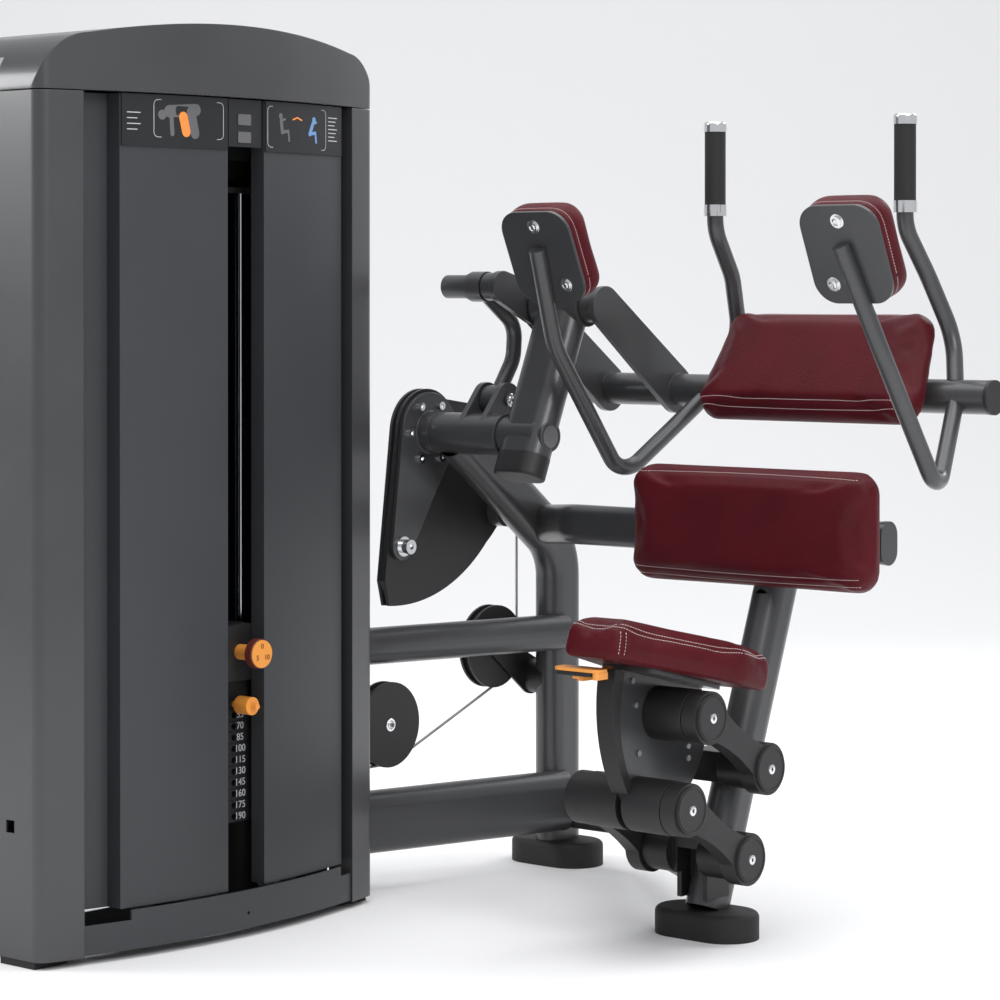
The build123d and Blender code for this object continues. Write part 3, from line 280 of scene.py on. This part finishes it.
def soft_box(outline, depth, edge):
    """Closed shell: flat back at z = 0, rounded rim and front at z = depth."""
    levels = [(0.004, 0.0), (0.0, 0.004), (0.0, depth - edge)]
    for k in range(1, 6):
        angle = math.radians(90 * k / 5)
        levels.append((edge * (1 - math.cos(angle)), depth - edge + edge * math.sin(angle)))
    mesh = bmesh.new()
    rings = []
    for inset, z in levels:
        ring = inset_outline(outline, inset)
        rings.append([mesh.verts.new((p.x, p.y, z)) for p in ring])
    for low, high in zip(rings, rings[1:]):
        for i in range(len(low)):
            j = (i + 1) % len(low)
            mesh.faces.new((low[i], low[j], high[j], high[i]))
    mesh.faces.new(list(reversed(rings[0])))
    mesh.faces.new(rings[-1])
    return finished(mesh, "soft_box", outward=False)


def evaluated_mesh(obj):
    """Mesh of an object with its modifiers applied."""
    graph = bpy.context.evaluated_depsgraph_get()
    return bpy.data.meshes.new_from_object(obj.evaluated_get(graph))


def inflate(data, depth):
    """Remeshes a shell and swells it as cloth under pressure, held at its back board."""
    obj = collection_link(bpy.data.objects.new("cloth_work", data))
    remesh = obj.modifiers.new("remesh", "REMESH")
    remesh.mode = "VOXEL"
    remesh.voxel_size = REMESH
    even = evaluated_mesh(obj)
    bpy.data.objects.remove(obj)
    start = [vertex.co.copy() for vertex in even.vertices]
    obj = collection_link(bpy.data.objects.new("cloth_work", even))
    board = obj.vertex_groups.new(name="board")
    board.add([i for i, p in enumerate(start) if p.z < depth * BOARD_SHARE], 1.0, "REPLACE")
    cloth = obj.modifiers.new("cloth", "CLOTH")
    cloth.settings.vertex_group_mass = "board"
    cloth.settings.use_pressure = True
    cloth.settings.uniform_pressure_force = 4.0
    cloth.settings.quality = 4
    cloth.settings.tension_stiffness = 25
    cloth.settings.compression_stiffness = 25
    cloth.settings.bending_stiffness = 2
    cloth.settings.effector_weights.gravity = 0
    cloth.collision_settings.use_collision = False
    scene = bpy.context.scene
    for step in range(1, SIM_FRAMES + 1):
        scene.frame_set(step)
    swollen = evaluated_mesh(obj)
    bpy.data.objects.remove(obj)
    scene.frame_set(1)
    for vertex, first in zip(swollen.vertices, start):
        shift = vertex.co - first
        if shift.length > PUFF_CAP:
            vertex.co = first + shift.normalized() * PUFF_CAP
    return swollen


def sew(data, lines, width=0.007, depth=0.0016):
    """Presses a shallow valley along each seam line on a relaxed mesh."""
    graph = bmesh.new()
    graph.from_mesh(data)
    for _ in range(4):
        bmesh.ops.smooth_vert(graph, verts=graph.verts, factor=0.5, use_axis_x=True, use_axis_y=True,
                              use_axis_z=True)
    graph.normal_update()
    tree = BVHTree.FromBMesh(graph)
    marks = [spot for line in lines for spot, _ in on_surface(tree, line, 0.002)]
    near = KDTree(max(1, len(marks)))
    for i, spot in enumerate(marks):
        near.insert(spot, i)
    near.balance()
    for vertex in graph.verts:
        if not marks:
            break
        _, _, gap = near.find(vertex.co)
        if gap < width:
            vertex.co -= vertex.normal * depth * (1 - (gap / width) ** 2) ** 2
    graph.to_mesh(data)
    graph.free()


def on_surface(tree, line, spacing):
    """Points every so often along a polyline, dropped on the surface, with normals."""
    points, aim = line
    spots = []
    for a, b in zip(points, points[1:]):
        a, b = Vector(a), Vector(b)
        steps = max(1, round((b - a).length / spacing))
        for k in range(steps):
            spot = a.lerp(b, k / steps)
            direction = Vector(aim(spot)) if callable(aim) else Vector(aim)
            hit, normal, _, _ = tree.ray_cast(spot - direction * 0.3, direction)
            if hit:
                spots.append((hit, normal))
    return spots


def stitches(name, data, lines, matrix, body, spacing=STITCH_PITCH):
    """Short thread bars laid along the seams."""
    tree = BVHTree.FromPolygons([v.co for v in data.vertices], [p.vertices for p in data.polygons])
    thread = bmesh.new()
    for line in lines:
        spots = on_surface(tree, line, spacing)
        for (a, na), (b, _) in zip(spots, spots[1:]):
            run = b - a
            if not 0.001 < run.length < spacing * 2.5:
                continue
            along = run.normalized()
            side = along.cross(na).normalized() * THREAD_HALF
            top = na * THREAD_HIGH
            first, last = a + run * 0.14, a + run * 0.80
            low = [thread.verts.new(p) for p in (first - side, first + side, last + side, last - side)]
            high = [thread.verts.new(p + top) for p in (
                first + along * 0.0006 - side * 0.6, first + along * 0.0006 + side * 0.6,
                last - along * 0.0006 + side * 0.6, last - along * 0.0006 - side * 0.6)]
            thread.faces.new(high)
            thread.faces.new(list(reversed(low)))
            for i in range(4):
                j = (i + 1) % 4
                thread.faces.new((low[i], low[j], high[j], high[i]))
    mesh = finished(thread, name)
    mesh.transform(matrix)
    return new_piece(name, mesh, THREAD, body, smooth=False)


def cushion(name, outline, depth, edge, matrix, body, lines):
    """One upholstered pad with its seams and stitching."""
    slim = inset_outline(outline, SLIM_SIDE)
    data = inflate(soft_box(slim, depth - SLIM_FRONT, edge), depth)
    sew(data, lines)
    stitches(name + "_stitching", data, lines, matrix, body)
    data.transform(matrix)
    pad = new_piece(name, data, FINISH["upholstery"], body)
    finer = pad.modifiers.new("finer", "SUBSURF")
    finer.levels = 1
    finer.render_levels = 1
    return pad


def across(y, half, bow=0.0, steps=12):
    """Seam from side to side of a pad, gently bowed."""
    points = []
    for k in range(steps + 1):
        t = -1 + 2 * k / steps
        points.append((half * t, y + bow * (1 - t * t), 0.0))
    return points


FRONT = (0.0, 0.0, -1.0)


def from_front(points):
    """Seam dropped on the pad along its depth."""
    return ([(x, y, SEAM_START) for x, y, _ in points], FRONT)


def trapezoid(low, high, height):
    """Corners of a pad that is wider at one end, counter-clockwise."""
    return [(-low / 2, 0), (low / 2, 0), (high / 2, height), (-high / 2, height)]


def lumbar_cushion():
    """Fixed lower back pad."""
    matrix = frame_matrix((0, 0.145, 0.565), (1, 0, 0), (0, -1, 0))
    outline = rounded(trapezoid(0.504, 0.504, 0.206), 0.040)
    lines = [from_front(across(y, 0.236, bow=-0.003)) for y in (0.016, 0.028)]
    lines += [from_front(across(y, 0.232, bow=0.003)) for y in (0.190,)]
    return cushion("lumbar_cushion", outline, 0.050, 0.020, matrix, "base", lines)


def back_cushion():
    """Moving upper back pad, narrower at its top."""
    tilt = BACK_TILT
    reach, drop = 0.036, 0.080
    origin = (0, 0.355 - reach * math.cos(tilt) - drop * math.sin(tilt),
              0.887 + reach * math.sin(tilt) - drop * math.cos(tilt))
    matrix = frame_matrix(origin, (1, 0, 0), (0, -math.cos(tilt), math.sin(tilt)))
    outline = rounded(trapezoid(0.476, 0.416, 0.212), 0.042)
    lines = [from_front(across(y, 0.222, bow=-0.003)) for y in (0.018, 0.031)]
    lines += [from_front(across(0.200, 0.180, bow=0.002))]
    return cushion("back_cushion", outline, 0.050, 0.020, matrix, "upper_frame", lines)


def ring_line(outline, inset):
    """Seam that follows the pad's outline on its front."""
    ring = inset_outline(outline, inset)
    return ([(p.x, p.y, SEAM_START) for p in ring + ring[:1]], FRONT)


def elbow_cushions():
    """The two elbow pads."""
    tilt = ELBOW_TILT
    outline = rounded([(-0.078, -0.088), (0.078, -0.088), (0.078, 0.088), (-0.078, 0.088)], 0.040)
    pads = []
    for side, name in ((-1, "left"), (1, "right")):
        toward_user = (0, math.cos(tilt), math.sin(tilt))
        centre = (side * ELBOW_CENTRE[0], ELBOW_CENTRE[1], ELBOW_CENTRE[2])
        matrix = frame_matrix(centre, (-1, 0, 0), toward_user)
        lines = [ring_line(outline, 0.016), ring_line(outline, 0.022)]
        band = [(p.x, p.y, 0.012) for p in outline]
        lines.append((band + band[:1], lambda spot: (-spot.x, -spot.y, 0)))
        pads.append(cushion(f"elbow_cushion_{name}", outline, 0.058, 0.020, matrix, "upper_frame", lines))
    return pads


def seat_cushion():
    """Tapered seat pad."""
    tilt = SEAT_TILT
    thick = 0.066
    up = Vector((0, math.sin(tilt), math.cos(tilt)))
    matrix = frame_matrix(Vector((0, -0.300, 0.553)) - up * thick, (1, 0, 0), up)
    outline = rounded([(-0.056, 0), (0.056, 0), (0.132, 0.250), (0.128, 0.335), (-0.128, 0.335),
                       (-0.132, 0.250)], 0.024)
    lines = [ring_line(outline, 0.012), ring_line(outline, 0.018)]
    for side in (-1, 1):
        corner = [(side * 0.060, 0.012, z) for z in (0.008, 0.024, 0.040, 0.052)]
        lines.append((corner, (-side, 0.25, 0)))
        shifted = [(side * 0.060, 0.022, z) for z in (0.008, 0.024, 0.040, 0.052)]
        lines.append((shifted, (-side, 0.25, 0)))
    return cushion("seat_cushion", outline, thick, 0.020, matrix, "seat_carriage", lines)


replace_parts(lumbar_cushion(), "lumbar_pad")
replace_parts(back_cushion(), "back_pad")
for pad in elbow_cushions():
    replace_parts(pad, "elbow_pads")
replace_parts(seat_cushion(), "seat_pad")


# ---- printed marks on the tower ------------------------------------------------------------
def tower_x(y, inset):
    """X of the bowed tower front at a given Y."""
    radius = FRONT_R - inset
    return FRONT_CX + math.sqrt(radius ** 2 - (y - TOWER_Y) ** 2)


LABEL_INSET = 0.0095


def printed(name, outlines, mat, x_of=None, lift=0.0003):
    """Thin printed shapes from outlines in (Y, Z), laid on the label plates."""
    x_of = x_of or (lambda y: tower_x(y, LABEL_INSET))
    mesh = bmesh.new()
    for points in outlines:
        front = [mesh.verts.new((x_of(y) + lift, y, z)) for y, z in points]
        back = [mesh.verts.new((x_of(y) - 0.0003, y, z)) for y, z in points]
        mesh.faces.new(front)
        mesh.faces.new(list(reversed(back)))
        for i in range(len(points)):
            j = (i + 1) % len(points)
            mesh.faces.new((front[j], front[i], back[i], back[j]))
    data = finished(mesh, name)
    return new_piece(name, data, mat, "base", smooth=False)


def capsule(a, b, radius, steps=8):
    """Outline of a stroke with round ends."""
    a, b = Vector(a), Vector(b)
    angle = math.atan2(b.y - a.y, b.x - a.x)
    points = []
    for centre, start in ((b, angle - math.pi / 2), (a, angle + math.pi / 2)):
        for k in range(steps + 1):
            turn = start + math.pi * k / steps
            points.append((centre.x + radius * math.cos(turn), centre.y + radius * math.sin(turn)))
    return points


def strokes(path, radius):
    return [capsule(a, b, radius) for a, b in zip(path, path[1:])]


def border(y_low, y_high, z_low, z_high, corner=0.008, width=0.0009):
    """Thin rounded frame, as short strokes."""
    outline = rounded([(y_low, z_low), (y_high, z_low), (y_high, z_high), (y_low, z_high)], corner, 5)
    loop = [(p.x, p.y) for p in outline]
    return strokes(loop + loop[:1], width / 2)


def disc_outline(y, z, radius, count=28):
    return [(y + radius * math.cos(2 * math.pi * k / count), z + radius * math.sin(2 * math.pi * k / count))
            for k in range(count)]


def figure(y, z, size, lean):
    """Generic seated pictogram: head, trunk, arm and leg, leaning by an angle."""
    hip = Vector((y, z))
    trunk = Vector((math.sin(lean), math.cos(lean))) * size * 0.42
    neck = hip + trunk
    head = neck + trunk.normalized() * size * 0.16
    knee = hip + Vector((size * 0.34, size * 0.05))
    foot = knee + Vector((size * 0.05, -size * 0.34))
    hand = neck + Vector((size * 0.22, size * 0.06))
    shapes = [disc_outline(head.x, head.y, size * 0.11)]
    shapes += [capsule(hip, neck, size * 0.085), capsule(hip, knee, size * 0.06)]
    return shapes + [capsule(knee, foot, size * 0.05), capsule(neck, hand, size * 0.04)]


def labels():
    """Two label plates: borders, generic pictograms and short rules for the lines of print."""
    near_low, near_high, far_low, far_high = -0.764, -0.551, -0.469, -0.248
    z_low, z_high = 1.304, 1.372
    near_frame = border(near_low + 0.060, near_high - 0.010, z_low + 0.008, z_high)
    printed("label_border_near", near_frame, PRINT_WHITE)
    far_frame = border(far_low + 0.012, far_high - 0.050, z_low, z_high)
    printed("label_border_far", far_frame, PRINT_WHITE)
    body_y, body_z = -0.640, 1.338
    torso = [capsule((body_y - 0.034, body_z + 0.016), (body_y + 0.020, body_z + 0.020), 0.010)]
    torso += [capsule((body_y + 0.010, body_z + 0.016), (body_y + 0.018, body_z - 0.018), 0.009)]
    torso += [disc_outline(body_y - 0.048, body_z + 0.010, 0.008)]
    torso += [capsule((body_y - 0.030, body_z + 0.010), (body_y - 0.028, body_z - 0.020), 0.004)]
    printed("muscle_figure", torso, PRINT_GREY, lift=0.0004)
    patch = [capsule((body_y - 0.006, body_z + 0.008), (body_y + 0.000, body_z - 0.016), 0.0085)]
    printed("muscle_patch", patch, PRINT_ORANGE, lift=0.0006)
    printed("pose_start", figure(-0.420, 1.330, 0.046, -0.15), PRINT_GREY, lift=0.0004)
    printed("pose_end", figure(-0.345, 1.330, 0.046, 0.45), PRINT_BLUE, lift=0.0004)
    arrow = strokes([(-0.392, 1.352), (-0.380, 1.356), (-0.368, 1.352)], 0.0012)
    printed("pose_arrow", arrow, PRINT_ORANGE, lift=0.0005)
    rules = []
    for k in range(7):
        z = 1.360 - 0.0065 * k
        rules.append(capsule((-0.290, z), (-0.264 - 0.004 * (k % 3), z), 0.0007))
    for k in range(4):
        z = 1.350 - 0.009 * k
        rules.append(capsule((near_low + 0.010, z), (near_low + 0.034 - 0.006 * (k % 2), z), 0.0007))
    printed("label_rules", rules, PRINT_WHITE)


def windows():
    """Two small grey windows in the strip between the label plates."""
    shapes = []
    for z in (1.318, 1.347):
        corners = [(-0.524, z - 0.009), (-0.494, z - 0.009), (-0.494, z + 0.009), (-0.524, z + 0.009)]
        outline = rounded(corners, 0.002, 3)
        shapes.append([(p.x, p.y) for p in outline])
    printed("strip_windows", shapes, PRINT_GREY, x_of=lambda y: tower_x(y, 0.014), lift=0.0012)


def number(name, text, size, place, body, mat):
    """A raised printed number that faces +X."""
    curve = bpy.data.curves.new(name, "FONT")
    curve.body = text
    curve.size = size
    curve.align_x = "CENTER"
    curve.align_y = "CENTER"
    curve.extrude = 0.0002
    holder = collection_link(bpy.data.objects.new(name + "_text", curve))
    data = evaluated_mesh(holder)
    bpy.data.objects.remove(holder)
    upright = Matrix.Rotation(math.pi / 2, 4, "Z") @ Matrix.Rotation(math.pi / 2, 4, "X")
    data.transform(Matrix.Translation(place) @ upright)
    data.materials.clear()
    return new_piece(name, data, mat, body, smooth=False)


def stack_numbers():
    """Weight numbers on the fronts of the plates."""
    for k in range(PLATE_COUNT):
        value = FIRST_WEIGHT + WEIGHT_STEP * k
        place = Vector((PLATE_FRONT_X + 0.0004, STACK_Y + 0.014, FIRST_PLATE_Z - k * PLATE_PITCH))
        body = "lifted_stack" if k == 0 else "base"
        number(f"plate_number_{value}", str(value), 0.0165, place, body, PRINT_WHITE)


def dial_marks():
    """Three numbers round the add-on dial."""
    marks = (("0", 90), ("5", 210), ("10", 330))
    for text, angle in marks:
        turn = math.radians(angle)
        offset = Vector((0.0004, 0.0125 * math.cos(turn), 0.0125 * math.sin(turn)))
        number(f"dial_number_{text}", text, 0.012, DIAL + offset, "weight_dial", DARK_RIM)


labels()
windows()
stack_numbers()
dial_marks()


# ---- turned and bent details ---------------------------------------------------------------
def turned(name, profile, centre, mat, body, count=48):
    """Solid turned about an X axis from (x, radius) points."""
    mesh = bmesh.new()
    rings = []
    for x, radius in profile:
        rings.append([mesh.verts.new((x, centre[0] + radius * math.cos(2 * math.pi * k / count),
                                      centre[1] + radius * math.sin(2 * math.pi * k / count)))
                      for k in range(count)])
    close_rings(mesh, rings)
    data = finished(mesh, name)
    obj = new_piece(name, data, mat, body)
    crisp = obj.modifiers.new("crisp", "EDGE_SPLIT")
    crisp.split_angle = math.radians(35)
    return obj


def tube_piece(name, points, radius, mat, body):
    """Round tube along a smooth curve."""
    curve = bpy.data.curves.new(name, "CURVE")
    curve.dimensions = "3D"
    curve.bevel_depth = radius
    curve.bevel_resolution = 4
    curve.use_fill_caps = True
    spline = curve.splines.new("POLY")
    spline.points.add(len(points) - 1)
    for slot_point, point in zip(spline.points, points):
        slot_point.co = (*point, 1)
    holder = collection_link(bpy.data.objects.new(name + "_curve", curve))
    data = evaluated_mesh(holder)
    bpy.data.objects.remove(holder)
    data.materials.clear()
    return new_piece(name, data, mat, body)


def ring_points(centre, radius, x, start=0, end=360, steps=48):
    points = []
    for k in range(steps + 1):
        angle = math.radians(start + (end - start) * k / steps)
        points.append((x, centre[0] + radius * math.cos(angle), centre[1] + radius * math.sin(angle)))
    return points


def details():
    """Dial rim, weld beads, the cable in the cam's groove, and screws and ridges on the seat links' covers."""
    rim = [(-0.5635, 0.0235), (-0.5635, 0.0248), (-0.5500, 0.0248), (-0.5490, 0.0240), (-0.5490, 0.0225)]
    turned("dial_rim", rim, (DIAL.y, DIAL.z), DARK_RIM, "weight_dial")
    pivot = (PIVOT_A.y, PIVOT_A.z)
    for name, x in (("weld_bead_cam_collar", -0.6655), ("weld_bead_arm_hub", -0.3835)):
        radius = 0.0375 if "cam" in name else 0.0252
        tube_piece(name, ring_points(pivot, radius, x), 0.0018, FINISH["frame_paint"], "main_arm")
    groove = ring_points(pivot, CAM_CORE_R, STACK_X, -36, 2)
    tube_piece("cam_cable", groove, 0.0024, FINISH["steel"], "main_arm")
    links = (("seat_link_upper", (0.021, 0.283), (-0.137, 0.382)),
             ("seat_link_lower", (-0.033, 0.142), (-0.191, 0.241)))
    for body, low, high in links:
        for end, centre in (("post", low), ("carriage", high)):
            screw = [(0.1160, 0.0085), (0.1180, 0.0080), (0.1188, 0.0062), (0.1188, 0.0036), (0.1172, 0.0030)]
            turned(f"{body}_{end}_screw", screw, centre, FINISH["chrome"], body, 24)
            ring = ring_points(centre, 0.0345, 0.1162)
            tube_piece(f"{body}_{end}_ridge", ring, 0.0009, FINISH["black_plastic"], body)


details()


def soft_block(name, low, high, radius, mat, body):
    """Small block with rounded plan corners and softened edges."""
    outline = rounded([(low[0], low[1]), (high[0], low[1]), (high[0], high[1]), (low[0], high[1])], radius, 6)
    mesh = bmesh.new()
    bottom = [mesh.verts.new((p.x, p.y, low[2])) for p in outline]
    top = [mesh.verts.new((p.x, p.y, high[2])) for p in outline]
    mesh.faces.new(top)
    mesh.faces.new(list(reversed(bottom)))
    for i in range(len(outline)):
        j = (i + 1) % len(outline)
        mesh.faces.new((bottom[i], bottom[j], top[j], top[i]))
    data = finished(mesh, name)
    piece = new_piece(name, data, mat, body, smooth=False)
    soften = piece.modifiers.new("soften", "BEVEL")
    soften.width = 0.0012
    soften.segments = 3
    return piece


def lever_trim():
    """Black carrier under the orange paddle, and the paddle's turned-down lip."""
    low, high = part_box("seat_lever")
    right, back = high[0], -0.281
    front, under = low[1] + 0.002, high[2] - 0.0055
    soft_block("lever_carrier", (low[0] + 0.002, front, under - 0.007), (right - 0.014, back, under), 0.010,
               FINISH["black_plastic"], "seat_lever")
    soft_block("lever_lip", (right - 0.013, front, under - 0.011), (right - 0.0005, back, under + 0.001), 0.005,
               FINISH["orange"], "seat_lever")


def button_bolt(name, centre, axis, radius, body):
    """Domed bolt head with a socket, on a washer, whose foot is at the centre."""
    profile = [(0.0, 1.45), (0.16, 1.45), (0.20, 1.38), (0.20, 1.0), (0.36, 0.97), (0.58, 0.78), (0.68, 0.50),
               (0.66, 0.44), (0.34, 0.40)]
    side = Vector((0, 0, 1)) if abs(Vector(axis).x) > 0.5 else Vector((1, 0, 0))
    matrix = frame_matrix(centre, side, axis)
    count = 36
    mesh = bmesh.new()
    rings = []
    for height, share in profile:
        rings.append([mesh.verts.new(matrix @ Vector((radius * share * math.cos(2 * math.pi * k / count),
                                                      radius * share * math.sin(2 * math.pi * k / count),
                                                      radius * height))) for k in range(count)])
    close_rings(mesh, rings)
    data = finished(mesh, name)
    return new_piece(name, data, FINISH["chrome"], body, smooth=False)


def end_face(node, centre, reach, limit):
    """Greatest X of a CAD node close to an axis along X, on the left of a limit."""
    spots = [v.co.x for v in NODES[node].data.vertices
             if math.hypot(v.co.y - centre[0], v.co.z - centre[1]) < reach and v.co.x < limit]
    return max(spots) if spots else None


def bolts():
    """Bolt heads on the hanger, the link's lug, the tower's pulley and the elbow plates."""
    spots = (("hanger_bolt", "swing_frame", PIVOT_B_YZ, 0.014, -0.300, 0.0095, "upper_frame"),
             ("lug_bolt", "pivot_housing", PIVOT_C_YZ, 0.027, -0.495, 0.0080, "base"),
             ("tower_pulley_bolt", "pulley_tower", TOWER_PULLEY_YZ, 0.075, -0.600, 0.0080, "pulley_tower"))
    for name, node, centre, reach, limit, radius, body in spots:
        x = end_face(node, centre, reach, limit)
        if x is not None:
            button_bolt(name, (x, *centre), (1, 0, 0), radius, body)
    tilt = ELBOW_TILT
    out = Vector((0, -math.cos(tilt), -math.sin(tilt)))
    up = Vector((0, -math.sin(tilt), math.cos(tilt)))
    heads = [v.co for v in NODES["elbow_bolts"].data.vertices]
    for side in (-1, 1):
        plate = Vector((side * ELBOW_CENTRE[0], ELBOW_CENTRE[1], ELBOW_CENTRE[2]))
        for x, y in ((0.0, 0.058), (0.036, -0.050), (-0.036, -0.050)):
            foot = plate + Vector((x, 0, 0)) + up * y + out * 0.006
            near = [spot for spot in heads if (spot - foot).length < 0.015]
            if near:
                name = f"elbow_bolt_{side}_{round(x * 1000)}_{round(y * 1000)}"
                button_bolt(name, foot, out, 0.0085, "upper_frame")


# ---- floor, light and camera ---------------------------------------------------------------
def floor():
    """Pale floor that curves up into a wall behind the machine."""
    ahead = Vector((-math.sin(CAMERA_AZIMUTH), math.cos(CAMERA_AZIMUTH), 0))
    side = Vector((math.cos(CAMERA_AZIMUTH), math.sin(CAMERA_AZIMUTH), 0))
    flat, bend, wall, reach, half = 4.5, 3.0, 9.0, -14.0, 16.0
    profile = [(reach, 0.0), (flat, 0.0)]
    for k in range(1, 25):
        turn = math.radians(90 * k / 24)
        profile.append((flat + bend * math.sin(turn), bend - bend * math.cos(turn)))
    profile.append((flat + bend, wall))
    mesh = bmesh.new()
    rows = []
    for distance, height in profile:
        rows.append([mesh.verts.new(ahead * distance + side * lateral + Vector((0, 0, height)))
                     for lateral in (-half, half)])
    for a, b in zip(rows, rows[1:]):
        mesh.faces.new((a[0], a[1], b[1], b[0]))
    data = finished(mesh, "studio_floor", outward=False)
    for polygon in data.polygons:
        polygon.use_smooth = True
    backdrop = collection_link(bpy.data.objects.new("studio_floor", data))
    mat = bpy.data.materials.new("studio_floor")
    mat.use_nodes = True
    shader = mat.node_tree.nodes["Principled BSDF"]
    shader.inputs["Base Color"].default_value = (0.88, 0.88, 0.88, 1)
    shader.inputs["Roughness"].default_value = 0.8
    shader.inputs["Specular IOR Level"].default_value = 0.1
    backdrop.data.materials.append(mat)


def area_light(name, place, target, size, energy):
    light = bpy.data.lights.new(name, "AREA")
    light.size = size
    light.energy = energy
    obj = collection_link(bpy.data.objects.new(name, light))
    obj.location = place
    obj.rotation_euler = (Vector(target) - Vector(place)).to_track_quat("-Z", "Y").to_euler()


def studio():
    """Even pale surroundings, one overhead panel and three smaller soft lights."""
    world = bpy.data.worlds.new("studio")
    world.use_nodes = True
    world.node_tree.nodes["Background"].inputs["Color"].default_value = (0.95, 0.96, 1.0, 1)
    world.node_tree.nodes["Background"].inputs["Strength"].default_value = 0.62
    bpy.context.scene.world = world
    bpy.context.scene.view_settings.view_transform = "Standard"
    middle = (-0.3, -0.1, 0.8)
    area_light("overhead", (-0.3, -0.2, 5.5), middle, 6.0, 260)
    area_light("key", (3.4, -1.6, 3.2), middle, 1.8, 60)
    area_light("side", (-3.4, -3.0, 2.2), middle, 1.2, 55)
    area_light("rim", (0.4, 3.6, 3.2), middle, 1.6, 45)


CAMERA_PLACE = (3.156, -4.166, 1.060)
CAMERA_AZIMUTH = math.radians(40.9)
CAMERA_PITCH = math.radians(0.5)
FOCAL_SHARE = 3.157          # focal length over sensor width


def camera():
    """Camera nearly level, with the frame shifted down instead of tilting."""
    data = bpy.data.cameras.new("camera")
    data.sensor_width = 36.0
    data.lens = FOCAL_SHARE * 36.0
    data.shift_y = -(0.206 - FOCAL_SHARE * math.tan(CAMERA_PITCH))
    data.clip_end = 100
    obj = collection_link(bpy.data.objects.new("camera", data))
    obj.location = CAMERA_PLACE
    obj.rotation_euler = (math.pi / 2 - CAMERA_PITCH, 0, CAMERA_AZIMUTH)
    bpy.context.scene.camera = obj


lever_trim()
bolts()
floor()
studio()
camera()
